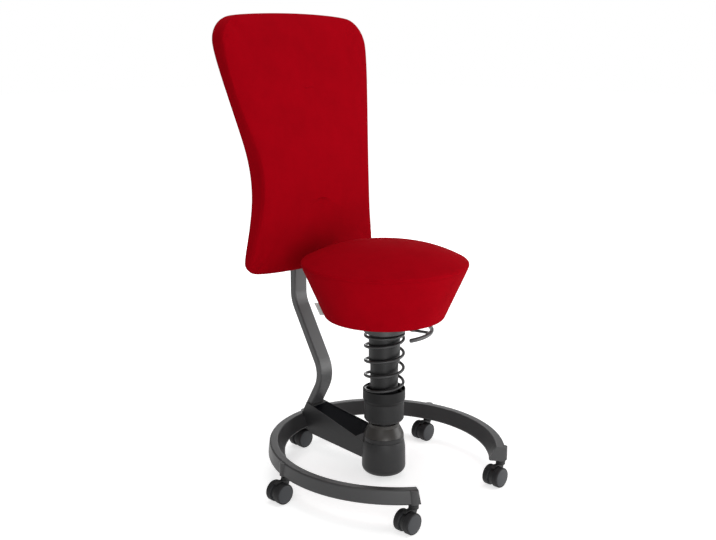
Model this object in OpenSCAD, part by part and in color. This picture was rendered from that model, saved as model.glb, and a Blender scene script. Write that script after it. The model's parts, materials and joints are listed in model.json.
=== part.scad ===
// Balance stool with a backrest: a sprung, tilting column on a rolling foot ring,
// a round upholstered seat and a tall waisted backrest on a bent flat bar.
// Millimetres. +Z is up, the sitter faces -Y, and the origin lies on the floor
// under the axis of the column.

/* [Foot ring] */
// Front to back size of the foot ring, outside
ring_length = 622; // [590:1:650]
// Side to side size of the foot ring, outside
ring_width = 588; // [560:1:620]
// How far the centre of the ring lies in front of the column
ring_forward = 7.5; // [0:0.5:20]
// Height of the underside of the ring above the floor
ring_bottom_z = 63.4; // [61:0.1:68]
// Height of the ring's section
ring_height = 35.9; // [30:0.1:42]
// Width of the ring's flat top
ring_top_w = 20; // [16:0.5:26]
// Width of the ring's underside
ring_bottom_w = 46; // [38:0.2:50]
// How far the ring's outer wall leans inwards on its way up
ring_outer_lean = 4; // [0:0.5:5]
// Radius of the ring's rounded edges
ring_edge_r = 4; // [1:0.5:6]
// Half of the opening at the front, as an angle
ring_gap_angle = 33; // [28:0.2:33]
// Slant of the ring's end faces from upright
ring_end_slant = 10; // [0:1:12]

/* [Casters] */
// Diameter of the wheels
wheel_d = 51; // [46:1:54]
// Width of one wheel
wheel_w = 17; // [12:0.5:17.5]
// Distance between the middle planes of the two wheels of a caster
wheel_spacing = 29.2; // [29:0.2:36]
// How far the wheels trail behind their stem
caster_trail = 21.6; // [18:0.2:26]
// Distance from the ring's outer wall to a stem's axis
stem_inset = 13; // [12:0.2:15]
// Diameter of the stems
stem_d = 11; // [8:0.5:12]
// Diameter of the wheel axles
axle_d = 8; // [6:0.5:9]
// Angle of the side casters from the rear one, round the ring's centre
side_caster_angle = 72.7; // [66:0.1:78]
// Angle of the front casters from the rear one, round the ring's centre
front_caster_angle = 144.8; // [143:0.1:144.8]

/* [Support arm] */
// Half width of the arm where it meets the housing
arm_front_half_w = 43; // [36:0.5:48]
// Half width of the arm at the ring
arm_rear_half_w = 24; // [23.5:0.5:28]
// Height of the arm's underside above the floor
arm_bottom_z = 50.5; // [50.5:0.5:58]
// Height of the arm's top where it meets the housing
arm_front_top_z = 99; // [92:0.5:99]
// Slope of the arm's top
arm_top_slope = 10.1; // [8:0.1:12]
// Thickness of the dark cover on the arm
arm_cover_t = 2.5; // [1.5:0.5:4]
// Border of the arm round its cover
arm_cover_border = 2; // [1:0.5:5]

/* [Base joint] */
// Radius of the housing round the tilting joint
housing_r = 56.3; // [54:0.1:60]
// Radius of the room inside the housing
housing_bore_r = 44; // [43:0.5:45]
// Height of the housing's lower edge above the floor
housing_bottom_z = 30; // [28:1:36]
// Height of the housing's shoulder above the floor
housing_top_z = 100; // [96:0.5:103]
// Height of the cap's flat underside above the floor
cap_bottom_z = 12.8; // [8:0.2:18]
// Radius of the rounding round the cap
cap_round_r = 17; // [8:0.5:17]
// Height of the adjusting ring between housing and collar
tilt_ring_h = 12; // [9:0.5:15]
// Height of the domed collar
collar_h = 33.5; // [28:0.5:36]
// Radius of the opening in the top of the collar
collar_mouth_r = 37.5; // [37.3:0.1:38]
// Wall of the domed collar
collar_wall = 3; // [2:0.5:4]
// Diameter of the pins of the tilting joint
pivot_pin_d = 10; // [8:0.5:11]
// Inner radius of the middle ring of the tilting joint
gimbal_r = 33; // [32:0.5:34]
// Wall of the middle ring of the tilting joint
gimbal_wall = 8; // [6:0.5:8.5]
// Height of the middle ring of the tilting joint
gimbal_h = 16; // [14:0.5:18]

/* [Column] */
// Outer radius of the tube that tilts in the joint
column_r = 27; // [26.5:0.1:27.2]
// Wall of that tube
column_wall = 2; // [1.5:0.25:2]
// Height of the lower end of that tube above the floor
column_bottom_z = 70; // [66:1:76]
// Height of the upper end of that tube above the floor
column_top_z = 296; // [288:1:300]
// Height of the lower edge of the adjusting sleeve above the floor
sleeve_bottom_z = 154.5; // [151:0.5:160]
// Outer radius of the adjusting sleeve
sleeve_r = 50.7; // [49:0.1:52]
// Wall of the adjusting sleeve
sleeve_wall = 4; // [2.5:0.5:5]
// Height of the lower edge of the spring cup above the floor
cup_bottom_z = 204; // [198:0.5:210]
// Height of the spring cup
cup_h = 32.5; // [28:0.5:36]
// Wall of the spring cup
cup_wall = 1.4; // [1:0.1:2]
// Thickness of the floor of the spring cup
cup_floor_t = 4; // [3:0.5:5]
// Outer radius of the lower telescopic sleeve
lower_sleeve_r = 35.5; // [34:0.1:36.5]
// Wall of both telescopic sleeves
telescope_wall = 2.5; // [2:0.1:3]
// Height of the top of the lower telescopic sleeve above the floor
lower_sleeve_top_z = 322; // [316:1:324]
// Outer radius of the upper telescopic sleeve
upper_sleeve_r = 39.6; // [39.2:0.1:41]
// Height of the lower end of the upper telescopic sleeve above the floor
upper_sleeve_bottom_z = 307; // [300:1:312]

/* [Coil spring] */
// Outer diameter of the spring
spring_d = 104.6; // [102:0.2:106]
// Thickness of its wire
wire_d = 7.6; // [6:0.1:8.2]
// Number of turns, with the two closed end turns
spring_turns = 5.9; // [5:0.1:6.5]
// Direction of the lower end of the wire, round the column
spring_phase = 45; // [0:1:359]

/* [Spring plate and guide tube] */
// Height of the underside of the upper spring plate above the floor
plate_bottom_z = 386; // [380:1:392]
// Thickness of the rim of the upper spring plate
plate_t = 15; // [10:0.5:16]
// Outer radius of the upper spring plate
plate_r = 52; // [50:0.5:54]
// Wall of the guide tube
guide_wall = 3; // [2:0.5:3.5]
// Height of the lower end of the guide tube above the floor
guide_bottom_z = 170; // [160:1:176]

/* [Gas spring] */
// Diameter of the gas spring's cylinder
cylinder_d = 28; // [26:0.5:30]
// Diameter of its piston rod
rod_d = 10; // [8:0.5:12]
// Height of the cylinder's lower end above the floor
cylinder_bottom_z = 255; // [245:1:262]
// Diameter of the release pin in its top
release_pin_d = 8; // [6:0.5:9]
// How far the piston rod reaches into the cylinder
rod_reach = 120; // [110:1:130]
// How far the release pin stands out of the cylinder
release_pin_out = 8; // [6:0.5:10]

/* [Seat] */
// Radius of the seat at its rim, before the edge is rounded
seat_r = 209.5; // [202:0.5:214]
// Height of the widest circle above the floor
seat_rim_z = 564.5; // [556:0.5:572]
// Rise of the domed top above the widest circle
seat_crown = 48; // [40:0.5:56]
// How flat the dome stays before it falls to the rim
seat_crown_power = 2.5; // [2:0.1:3.2]
// Radius of the soft edge round the top
seat_edge_r = 8; // [4:0.5:12]
// Radius of the seat's underside
seat_bottom_r = 148.5; // [145:0.5:154]
// Height of the seat's underside above the floor
seat_bottom_z = 428.5; // [424:0.5:433]
// Radius of the soft edge round the underside
seat_bottom_edge_r = 9; // [5:0.5:12]
// Radius of the cover under the seat
pan_r = 118; // [112:0.5:124]
// Thickness of the seat's plastic shell
shell_t = 4; // [3:0.5:5]
// Thickness of the foam over the shell's top
seat_foam_t = 58; // [50:1:66]
// Width of the steel plate that carries the seat
seat_plate_w = 150; // [130:2:160]
// Thickness of that plate
seat_plate_t = 5; // [4:0.5:6]
// Height of the middle of the cloth tag above the floor
tag_z = 443; // [442:1:520]

/* [Height lever] */
// Diameter of the lever's rod
lever_d = 7; // [6.5:0.25:9]
// Diameter of the lever's curved handle
lever_handle_d = 10.5; // [9:0.5:12]
// Height of the lever's level stretch above the floor
lever_z = 387; // [382:0.5:390]
// Distance from the column's axis to the middle of the curved handle
lever_reach = 118; // [112:1:122]
// Angle that the curved handle spans round the column
lever_sweep = 81; // [70:1:88]
// Rise of the handle over the level stretch
lever_step = 4.5; // [3:0.5:6]
// Distance from the column's axis to the lever's pivot
lever_pivot_r = 34; // [32:0.5:36]
// Height of the lever's pivot above the floor
lever_pivot_z = 470; // [468:0.5:473]

/* [Backrest bar] */
// Width of the flat bar
bar_w = 44.5; // [38:0.5:46]
// Thickness of the flat bar
bar_t = 20; // [17:0.5:22]
// Radius of its rounded edges
bar_edge_r = 4; // [2:0.5:6]
// Lean of its lower stretch towards the sitter, going up
bar_lower_lean = 29.3; // [27:0.1:33]
// Lean of its middle stretch away from the sitter, going up
bar_middle_lean = 29.6; // [28:0.1:34]
// Height of the lower bend's corner above the floor
bar_knee_z = 222.9; // [216:0.1:234]
// How far the lower bend's corner lies in front of the ring's inner wall
bar_knee_in = 73.7; // [70:0.1:80]
// How far the middle of the upright stretch lies behind the ring's inner wall
bar_top_out = 35.3; // [33:0.1:40]
// Radius of the lower bend
bar_knee_r = 77; // [65:1:90]
// Radius of the upper bend
bar_elbow_r = 80; // [65:5:220]
// Height of the bar's upper end above the floor
bar_top_z = 762; // [750:1:780]

/* [Backrest] */
// Height of the backrest's lower edge above the floor
back_bottom_z = 512; // [504:1:518]
// Height of the backrest's upper edge above the floor
back_top_z = 1163; // [1140:1:1190]
// Radius of its upper corners
back_top_corner_r = 72; // [55:1:80]
// Radius of its lower corners
back_bottom_corner_r = 36; // [28:1:46]
// Fall of the upper edge towards its corners
back_top_fall = 10; // [4:1:16]
// Rise of the padded front over its edges
back_crown = 5; // [2:0.5:8]
// Radius of the soft edge round the front
back_edge_r = 9; // [6:0.5:12]
// Thickness of the panel behind the padding
back_panel_t = 9; // [7:0.5:11]
// Height of the backrest's hinge above the floor
back_hinge_z = 675; // [665:1:685]
// Distance from the bar to the rear of the backrest
back_standoff = 29; // [28.6:0.2:32]
// Diameter of the backrest's hinge pin
back_pin_d = 8; // [6:0.5:9]

/* [Clearances] */
// Gap between plain neighbours on different bodies
gap = 0.3; // [0.3:0.05:0.4]
// Radial clearance of pins, shafts and stems that turn
run_clear = 0.05; // [0.03:0.01:0.08]

/* [Hidden] */
$fn = 96;

// Colours
coat = [0.20, 0.20, 0.21];
dark = [0.07, 0.07, 0.08];
plastic = [0.13, 0.13, 0.14];
steel = [0.62, 0.63, 0.65];
rubber = [0.09, 0.09, 0.09];
red = [0.62, 0.02, 0.07];
foam = [0.55, 0.03, 0.07];
grey = [0.80, 0.80, 0.80];

// Foot ring, as an oval of four arcs with centres on its two axes
ring_a = ring_length / 2;
ring_b = ring_width / 2;
ring_shift = (ring_a - ring_b) / (2 - sqrt(2));
ring_y = -ring_forward;
ring_top_z = ring_bottom_z + ring_height;
ring_rear_y = ring_y + ring_a;
ring_slope = (ring_bottom_w - ring_top_w - ring_outer_lean) / ring_height;
ring_inner_y = ring_rear_y - ring_outer_lean - ring_top_w;

// Casters, at angles from the rear round the ring's centre
caster_angles = [0, side_caster_angle, -side_caster_angle, front_caster_angle, -front_caster_angle];
wheel_r = wheel_d / 2;
stem_r = stem_d / 2;
axle_r = axle_d / 2;
socket_r = stem_r + run_clear + 1.5;
socket_z = ring_bottom_z - 2.3;
socket_top_z = ring_top_z - 7.5;
hood_top_z = socket_z - gap;
hood_w = wheel_spacing - wheel_w - 2 * gap;

// Base joint
tilt_ring_z = housing_top_z + gap;
collar_z = tilt_ring_z + tilt_ring_h + gap;
collar_top_z = collar_z + collar_h;
shoulder_r = housing_r - 4.9;
neck_r = housing_r - 8.8;
neck_top_z = collar_z + 6;
pivot_z = housing_top_z - 7;
pin_r = pivot_pin_d / 2;
gimbal_out_r = gimbal_r + gimbal_wall;
bumper_z = 66;

// Support arm
arm_bolt_x = 18;
arm_bolt_z = arm_bottom_z + 6;
arm_head_lean = bar_lower_lean - 4;

// Column
column_bore_r = column_r - column_wall;
guide_r = column_bore_r - 2;
guide_bore_r = guide_r - guide_wall;
flange_z = sleeve_bottom_z + 2;
flange_t = 9;
sleeve_bore_r = sleeve_r - sleeve_wall;
sleeve_top_z = cup_bottom_z - gap;
cup_floor_z = cup_bottom_z + 4;
cup_floor_top = cup_floor_z + cup_floor_t;
cup_r = spring_d / 2 + gap + cup_wall;
cup_top_z = cup_bottom_z + cup_h;
plate_top_z = plate_bottom_z + plate_t;
bounce_travel = 50;

// Coil spring: closed end turns, then an even climb between them
wire_r = wire_d / 2;
spring_mean_r = spring_d / 2 - wire_r;
spring_low_z = cup_floor_top + wire_r + gap;
spring_high_z = plate_bottom_z - wire_r - gap;
end_pitch = wire_d + 0.6;
end_turn = 0.85;
blend_turn = 0.3;
spring_pitch = end_pitch
    + (spring_high_z - spring_low_z - end_pitch * spring_turns) / (spring_turns - 2 * end_turn
        - blend_turn);
rings_per_turn = 24;
wire_sides = 6;
spring_rings = round(spring_turns * rings_per_turn);

// Gas spring and seat
cylinder_r = cylinder_d / 2;
rod_r = rod_d / 2;
cylinder_top_z = lever_pivot_z + 2;
pin_top_z = cylinder_top_z + release_pin_out;
release_r = release_pin_d / 2;
shell_floor_z = seat_bottom_z + 13.5;
seat_lean = (seat_r - seat_bottom_r) / (seat_rim_z - seat_bottom_z);
seat_top_z = seat_rim_z + seat_crown;
foam_under_z = seat_top_z - seat_foam_t;
foam_side = 15;
lever_r = lever_d / 2;
lever_azimuth = -46;
lever_arm_z = pin_top_z + gap + lever_r;
lever_pin_r = 3;
lever_drop_r = plate_r + lever_r + 5;

// Backrest bar and backrest
bar_knee_y = ring_inner_y - bar_knee_in;
bar_top_y = ring_inner_y + bar_top_out;
bar_elbow_z = bar_knee_z + (bar_top_y - bar_knee_y) / tan(bar_middle_lean);
bar_start_z = ring_top_z - 14;
bar_path = [[bar_knee_y + (bar_knee_z - bar_start_z) * tan(bar_lower_lean), bar_start_z],
    [bar_knee_y, bar_knee_z], [bar_top_y, bar_elbow_z], [bar_top_y, bar_top_z]];
bar_front_y = bar_top_y - bar_t / 2;
bar_rear_y = bar_top_y + bar_t / 2;
back_plane_y = bar_front_y - back_standoff;
hinge_y = (back_plane_y + bar_front_y) / 2 + 0.5;
back_pin_r = back_pin_d / 2;

// Backrest rows: height, half width, and how far the front of its edge and the back
// of its panel lie behind the plane of its lower rear
back_rows = [
    [508, 225.2, -27, 0], [560, 218.2, -32, 0], [640, 199.7, -41.5, 0],
    [700, 190.2, -48, 0], [760, 187.7, -48, 5], [820, 194.7, -40, 11.5],
    [900, 214.2, -20, 24], [980, 232.7, -0.5, 39.5], [1060, 245.4, 16, 60],
    [1110, 249, 26, 72], [1170, 251, 39, 84]];
back_mid_z = (back_bottom_z + back_top_z) / 2;

function unit(v) = v / norm(v);

// Points of an arc that rounds the corner q between its neighbours p and s
function corner(p, q, s, r, n) =
    let (a = unit(p - q), b = unit(s - q), half = acos(a * b) / 2, c = q + unit(a + b) * r / sin(half),
        d = r / tan(half), from = q + a * d - c, to = q + b * d - c,
        a0 = atan2(from[1], from[0]), a1 = atan2(to[1], to[0]),
        turn = a1 - a0 > 180 ? a1 - a0 - 360 : a1 - a0 < -180 ? a1 - a0 + 360 : a1 - a0)
    [for (i = [0:n]) c + r * [cos(a0 + turn * i / n), sin(a0 + turn * i / n)]];

// Outline with each corner rounded by its own radius
function rounded(p, r, n = 4) =
    let (m = len(p))
    [for (i = [0:m - 1]) for (q = r[i] > 0 ? corner(p[(i + m - 1) % m], p[i], p[(i + 1) % m], r[i],
        n) : [p[i]]) q];

// Radius of the ring's outer wall from the ring's centre, at an angle from the rear
function ring_radius(turn_angle) =
    let (folded = abs(turn_angle) > 90 ? 180 - abs(turn_angle) : abs(turn_angle),
        at_end = folded < 45,
        shift = at_end ? ring_shift : -ring_shift,
        arc_r = at_end ? ring_a - ring_shift : ring_b + ring_shift,
        along = at_end ? cos(folded) : sin(folded))
    shift * along + sqrt(arc_r * arc_r - shift * shift * (1 - along * along));

function stem_place(turn_angle) =
    let (r = ring_radius(turn_angle) - stem_inset)
    [-sin(turn_angle) * r, ring_y + cos(turn_angle) * r, 0];

function arm_top(y) = arm_front_top_z + (y - housing_r) * tan(arm_top_slope);
function arm_half_w(y) =
    arm_front_half_w + (arm_rear_half_w - arm_front_half_w) * (y - housing_r) / (ring_inner_y - housing_r);
function seat_side(z) = seat_bottom_r + (z - seat_bottom_z) * seat_lean;

// Smooth curve through column c of the backrest's rows, at height z
function row_index(z, i = 0) = i >= len(back_rows) - 2 || z < back_rows[i + 1][0] ? i : row_index(z, i + 1);
function row_slope(i, c) =
    let (a = max(i - 1, 0), b = min(i + 1, len(back_rows) - 1))
    (back_rows[b][c] - back_rows[a][c]) / (back_rows[b][0] - back_rows[a][0]);
function row_value(z, c) =
    let (i = row_index(z), p = back_rows[i], q = back_rows[i + 1], h = q[0] - p[0], t = (z - p[0]) / h)
    (2 * pow(t, 3) - 3 * t * t + 1) * p[c] + (pow(t, 3) - 2 * t * t + t) * h * row_slope(i, c)
    + (3 * t * t - 2 * pow(t, 3)) * q[c] + (pow(t, 3) - t * t) * h * row_slope(i + 1, c);

// Right half of the backrest's outline, from the bottom centre to the top centre
function back_low(x) = back_bottom_z + 7 * pow(abs(x) / 180, 2.6);
function back_high(x) = back_top_z - back_top_fall * (0.72 * pow(x / 200, 2) + 0.28 * pow(x / 200, 4));
low_x = row_value(back_bottom_z + back_bottom_corner_r, 1) - back_bottom_corner_r;
high_x = row_value(back_top_z - back_top_corner_r, 1) - back_top_corner_r;
low_c = [low_x + 1, back_low(low_x + 5) + back_bottom_corner_r];
high_c = [high_x, back_high(high_x + 7) - back_top_corner_r + 0.6];
back_half = concat(
    [for (i = [0:3]) let (x = low_x * i / 4) [x, back_low(x)]],
    [for (i = [0:4]) let (a = -80 + 18 * i) low_c + back_bottom_corner_r * [cos(a), sin(a)]],
    [for (i = [1:12]) let (z = low_c[1] + (high_c[1] - low_c[1]) * i / 13) [row_value(z, 1), z]],
    [for (i = [0:5]) let (a = 2 + 16.4 * i) high_c + back_top_corner_r * [cos(a), sin(a)]],
    [for (i = [1:4]) let (x = high_x * (1 - i / 4)) [x, back_high(x)]]);
half_n = len(back_half) - 1;
back_outline = concat(back_half,
    [for (i = [1:half_n - 1]) [-back_half[half_n - i][0], back_half[half_n - i][1]]]);
back_n = len(back_outline);

// A ring of the backrest: the outline drawn in by d, at a depth given by its height
function drawn_in(p, d) = [p[0] * (1 - d / 220), back_mid_z + (p[1] - back_mid_z) * (1 - d / 327)];
function front_ring(d, deep) =
    [for (p = back_outline) let (q = drawn_in(p, d)) [q[0], back_plane_y + row_value(q[1], 2) + deep,
        q[1]]];
function rear_ring(d, deep) =
    [for (p = back_outline) let (q = drawn_in(p, d)) [q[0], back_plane_y + row_value(q[1], 3) + deep,
        q[1]]];
function crown_in(d) = -back_crown * (1 - pow(1 - d / 200, 2));

// Follows a flat path in the XY plane with its children as the section. The
// section's x runs across the path and its y along Z. The bends are a hair slimmer
// than the straight lengths and reach a little way into them.
module flat_sweep(path, radii) {
    last = len(path) - 1;
    trims = [for (i = [0:last]) i == 0 || i == last ? 0 :
        let (a = unit(path[i - 1] - path[i]),
            b = unit(path[i + 1] - path[i])) radii[i] / tan(acos(a * b) / 2)];
    for (i = [0:last - 1]) {
        way = unit(path[i + 1] - path[i]);
        start = path[i] + way * trims[i];
        translate([start[0], start[1], 0])
            rotate([0, 0, atan2(way[1], way[0])])
                rotate([90, 0, 90])
                    linear_extrude(norm(path[i + 1] - path[i]) - trims[i] - trims[i + 1]) children();
    }
    lap = 0.3;
    for (i = [1:last - 1]) {
        a = unit(path[i - 1] - path[i]);
        b = unit(path[i + 1] - path[i]);
        centre = path[i] + unit(a + b) * radii[i] / sin(acos(a * b) / 2);
        left = a[0] * b[1] - a[1] * b[0] < 0;
        from = path[i] + (left ? a : b) * trims[i] - centre;
        translate([centre[0], centre[1], 0])
            rotate([0, 0, atan2(from[1], from[0]) - lap / radii[i] * 57])
                rotate_extrude(angle = 180 - acos(a * b) + 2 * lap / radii[i] * 57)
                    translate([radii[i], 0]) scale([0.995, 0.995]) children();
    }
}

// Tube or ring standing on z, with its outer and inner radius
module tube(z, h, r_out, r_in) {
    translate([0, 0, z]) difference() {
        cylinder(h = h, r = r_out);
        translate([0, 0, -1]) cylinder(h = h + 2, r = r_in);
    }
}

// Solid of stacked closed rings with as many points each, closed at both ends by
// ladders between the right and the left half
module ring_stack(rings) {
    n = len(rings[0]);
    half = n / 2;
    m = len(rings);
    sides = [for (k = [0:m - 2]) for (j = [0:n - 1]) for (t = [0:1])
        let (a = k * n + j, b = k * n + (j + 1) % n, c = a + n, d = b + n)
        t == 0 ? [a, b, d] : [a, d, c]];
    near = concat([[0, n - 1, 1], [half, half - 1, half + 1]],
        [for (j = [1:half - 2]) for (t = [0:1]) t == 0 ? [j, n - j, n - j - 1] : [j, n - j - 1, j + 1]]);
    o = (m - 1) * n;
    far = [for (f = near) [o + f[0], o + f[2], o + f[1]]];
    polyhedron(points = [for (r = rings) for (p = r) p], faces = concat(sides, near, far));
}

module foot_ring_section(inset, r) {
    polygon(rounded(
        [[r - inset, ring_bottom_z + inset], [r - ring_outer_lean - inset, ring_top_z - inset],
            [r - ring_outer_lean - ring_top_w + inset, ring_top_z - inset],
                [r - ring_bottom_w + 2 * inset, ring_bottom_z + inset]],
        [ring_edge_r, ring_edge_r, ring_edge_r, ring_edge_r]));
}

module ring_arc(x, y, r, start, sweep, inset) {
    translate([x, ring_y + y, 0]) rotate([0, 0, start])
        rotate_extrude(angle = sweep) foot_ring_section(inset, r);
}

// The end arcs are a hair slimmer than the side arcs and reach a little way into them
module ring_body() {
    end_r = ring_a - ring_shift;
    side_r = ring_b + ring_shift;
    ring_arc(ring_shift, 0, side_r, 135, 90, 0);
    ring_arc(-ring_shift, 0, side_r, -45, 90, 0);
    ring_arc(0, ring_shift, end_r, 44.8, 90.4, 0.02);
    ring_arc(0, -ring_shift, end_r, 224.8, 17, 0.02);
    ring_arc(0, -ring_shift, end_r, 298.2, 17, 0.02);
}

module at_stems() {
    for (a = caster_angles) translate(stem_place(a)) children();
}

module foot_ring() {
    color(coat) difference() {
        union() {
            ring_body();
            for (a = caster_angles)
                translate(stem_place(a)) rotate([0, 0, a])
                    translate([0, stem_inset - 7.8, ring_bottom_z + 0.6])
                        cylinder(h = ring_height - 1.8, r = 11);
        }
        at_stems() translate([0, 0, 50]) cylinder(h = socket_top_z - 50, r = socket_r);
        for (side = [-1, 1])
            translate([0, ring_y, (ring_bottom_z + ring_top_z) / 2]) rotate([0, 0, side * ring_gap_angle])
                rotate([0, side * ring_end_slant, 0])
                    translate([side > 0 ? -90 : 0, -ring_a - 20, -60]) cube([90, 90, 120]);
    }
}

module caster_sockets() {
    color(steel) at_stems() difference() {
        union() {
            translate([0, 0, socket_z]) cylinder(h = socket_top_z - socket_z, r = socket_r);
            translate([0, 0, socket_z]) cylinder(h = ring_bottom_z - socket_z, r = socket_r + 3);
        }
        translate([0, 0, socket_z - 1]) cylinder(h = 60, r = stem_r + run_clear);
    }
}

// Side view of the arm, drawn in its middle plane
module arm_side(lift) {
    head_z = arm_top(ring_inner_y - 18);
    polygon([[20, arm_bottom_z],
        [ring_inner_y - ring_slope * (ring_top_z - arm_bottom_z), arm_bottom_z],
        [ring_inner_y, ring_top_z],
        [ring_inner_y - (head_z - ring_top_z) * tan(arm_head_lean), head_z],
        [20, arm_top(20)]]);
}

module arm_plan(inset, from_y, to_y) {
    polygon([[-arm_half_w(from_y) + inset, from_y], [arm_half_w(from_y) - inset, from_y],
        [arm_half_w(to_y) - inset, to_y], [-arm_half_w(to_y) + inset, to_y]]);
}

// Band under the arm's top, from depth d1 up to depth d0 below it
module arm_recess(d0, d1) {
    y0 = housing_r + 5;
    y1 = ring_inner_y - 44;
    intersection() {
        translate([-60, 0, 0]) rotate([90, 0, 90]) linear_extrude(120)
            polygon([[y0, arm_top(y0) - d1], [y1, arm_top(y1) - d1], [y1, arm_top(y1) - d0],
                [y0, arm_top(y0) - d0]]);
        translate([0, 0, 20]) linear_extrude(160) arm_plan(arm_cover_border, y0 - 1, y1 + 1);
    }
}

module housing_outline() {
    rotate_extrude() polygon([[0, housing_bottom_z], [housing_r, housing_bottom_z],
        [housing_r - 0.3, housing_top_z - 48], [housing_r - 1, housing_top_z - 22],
        [housing_r - 2.2, housing_top_z - 12], [housing_r - 3.6, housing_top_z - 5],
            [shoulder_r, housing_top_z],
        [neck_r, housing_top_z], [neck_r, neck_top_z], [0, neck_top_z]]);
}

module bar_solid(grow) {
    difference() {
        rotate([90, 0, 90]) flat_sweep(bar_path, [0, bar_knee_r, bar_elbow_r, 0]) {
            polygon(rounded(
                [[-bar_t / 2 - grow, -bar_w / 2 - grow], [bar_t / 2 + grow, -bar_w / 2 - grow],
                    [bar_t / 2 + grow, bar_w / 2 + grow], [-bar_t / 2 - grow, bar_w / 2 + grow]],
                [bar_edge_r, bar_edge_r, bar_edge_r, bar_edge_r]));
        }
        translate([-bar_w, ring_inner_y - 2 * bar_w, ring_top_z - 100]) cube([2 * bar_w, 3.5 * bar_w, 100]);
    }
}

module arm_bolt_places() {
    for (side = [-1, 1]) translate([side * arm_bolt_x, 0, arm_bolt_z]) rotate([-90, 0, 0]) children();
}

// Places of the grub screws that hold the bar in the arm's head
module bar_screw_places() {
    for (i = [0:1])
        translate([0, ring_inner_y - 16.5 - 6 * i, ring_top_z + 20 + 10 * i]) rotate([0, 90, 0]) children();
}

module support_arm() {
    color(coat) difference() {
        intersection() {
            translate([-60, 0, 0]) rotate([90, 0, 90]) linear_extrude(120) arm_side();
            translate([0, 0, 20]) linear_extrude(160) arm_plan(0, 20, ring_inner_y + 8);
        }
        housing_outline();
        ring_body();
        bar_solid(0);
        arm_recess(-3, arm_cover_t + 1.5);
        arm_bolt_places() translate([0, 0, 30]) cylinder(h = 48, r = 4);
        bar_screw_places() translate([0, 0, 5]) cylinder(h = 40, r = 3);
    }
}

module arm_cover() {
    color(dark) arm_recess(1.5, arm_cover_t + 1.5);
}

module frame_bolts() {
    color(steel) {
        arm_bolt_places() {
            translate([0, 0, 39]) cylinder(h = 6, r = 5.5);
            translate([0, 0, 45]) cylinder(h = 32, r = 4);
        }
        bar_screw_places() translate([0, 0, bar_w / 2 - 9]) cylinder(h = 10, r = 3);
    }
}

module base_housing() {
    color(coat) difference() {
        housing_outline();
        translate([0, 0, bumper_z]) cylinder(h = 200, r = housing_bore_r);
        translate([0, 0, bumper_z - 4]) cylinder(h = 5, r = housing_bore_r - 6);
        translate([0, 0, housing_bottom_z - 1])
            cylinder(h = bumper_z - 3 - housing_bottom_z, r = housing_bore_r);
        arm_bolt_places() {
            translate([0, 0, 30]) cylinder(h = 15, r = 5.5);
            translate([0, 0, 30]) cylinder(h = 40, r = 4);
        }
        for (side = [-1, 1])
            translate([0, 0, pivot_z]) rotate([0, side * 90, 0])
                cylinder(h = housing_bore_r + 6, r = pin_r);
    }
}

module base_cap() {
    lip_r = housing_bore_r;
    color(dark) rotate_extrude() polygon(concat(
        rounded([[0, cap_bottom_z], [housing_r, cap_bottom_z], [housing_r, housing_bottom_z]],
            [0, min(cap_round_r, housing_bottom_z - cap_bottom_z - 0.2), 0], 6),
        [[lip_r, housing_bottom_z], [lip_r, housing_bottom_z + 6], [lip_r - 3, housing_bottom_z + 6],
            [lip_r - 3, housing_bottom_z - 2], [lip_r - 7, cap_bottom_z + 5], [0, cap_bottom_z + 5]]));
}

module tilt_ring() {
    color(plastic) rotate_extrude() polygon([[neck_r + gap, tilt_ring_z], [shoulder_r - 0.6, tilt_ring_z],
        [shoulder_r, tilt_ring_z + 0.8], [shoulder_r, tilt_ring_z + tilt_ring_h - 0.8],
        [shoulder_r - 0.6, tilt_ring_z + tilt_ring_h], [neck_r + gap, tilt_ring_z + tilt_ring_h]]);
}

// Outer side of the dome, falling from the adjusting ring to its mouth
module dome_collar() {
    mouth_out = collar_mouth_r + 2.4;
    r0 = shoulder_r;
    z0 = collar_z;
    drop = collar_h * 0.74;
    color(plastic) rotate_extrude() polygon(concat(
        [[neck_r, z0], [r0, z0]],
        [for (i = [1:6]) let (t = i / 6) [r0 - (r0 - mouth_out) * pow(t, 1.35),
            z0 + drop * (0.92 * t + 0.08 * t * t)]],
        [[mouth_out - 0.3, collar_top_z - 1], [mouth_out - 1.2, collar_top_z],
            [collar_mouth_r, collar_top_z],
            [collar_mouth_r, z0 + drop * 0.92]],
        [for (i = [5, 4, 3]) let (t = i / 6)
            [r0 - (r0 - mouth_out) * pow(t, 1.35) - collar_wall,
                z0 + drop * (0.92 * t + 0.08 * t * t) - 1]],
        [[neck_r, neck_top_z]]));
}

module elastomer_ring() {
    color(rubber) rotate_extrude() polygon([[housing_bore_r - 10.5, bumper_z + gap],
        [housing_bore_r - gap, bumper_z + gap],
        [housing_bore_r - gap, bumper_z + 12], [housing_bore_r - 8, bumper_z + 12],
            [housing_bore_r - 10.5, bumper_z + 8]]);
}

module pivot_pins_x() {
    color(steel) for (side = [-1, 1])
        translate([0, 0, pivot_z]) rotate([0, side * 90, 0]) translate([0, 0, gimbal_r + 1])
            cylinder(h = housing_bore_r + 5 - gimbal_r, r = pin_r);
}

module gimbal_ring() {
    color(steel) difference() {
        tube(pivot_z - gimbal_h / 2, gimbal_h, gimbal_out_r, gimbal_r);
        for (a = [0:90:270])
            translate([0, 0, pivot_z]) rotate([0, 90, a]) cylinder(h = 60, r = pin_r + run_clear);
    }
}

module pivot_pins_y() {
    color(steel) for (side = [-1, 1])
        translate([0, 0, pivot_z]) rotate([side * 90, 0, 0]) translate([0, 0, column_bore_r - 1])
            cylinder(h = gimbal_out_r - column_bore_r, r = pin_r);
}

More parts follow.
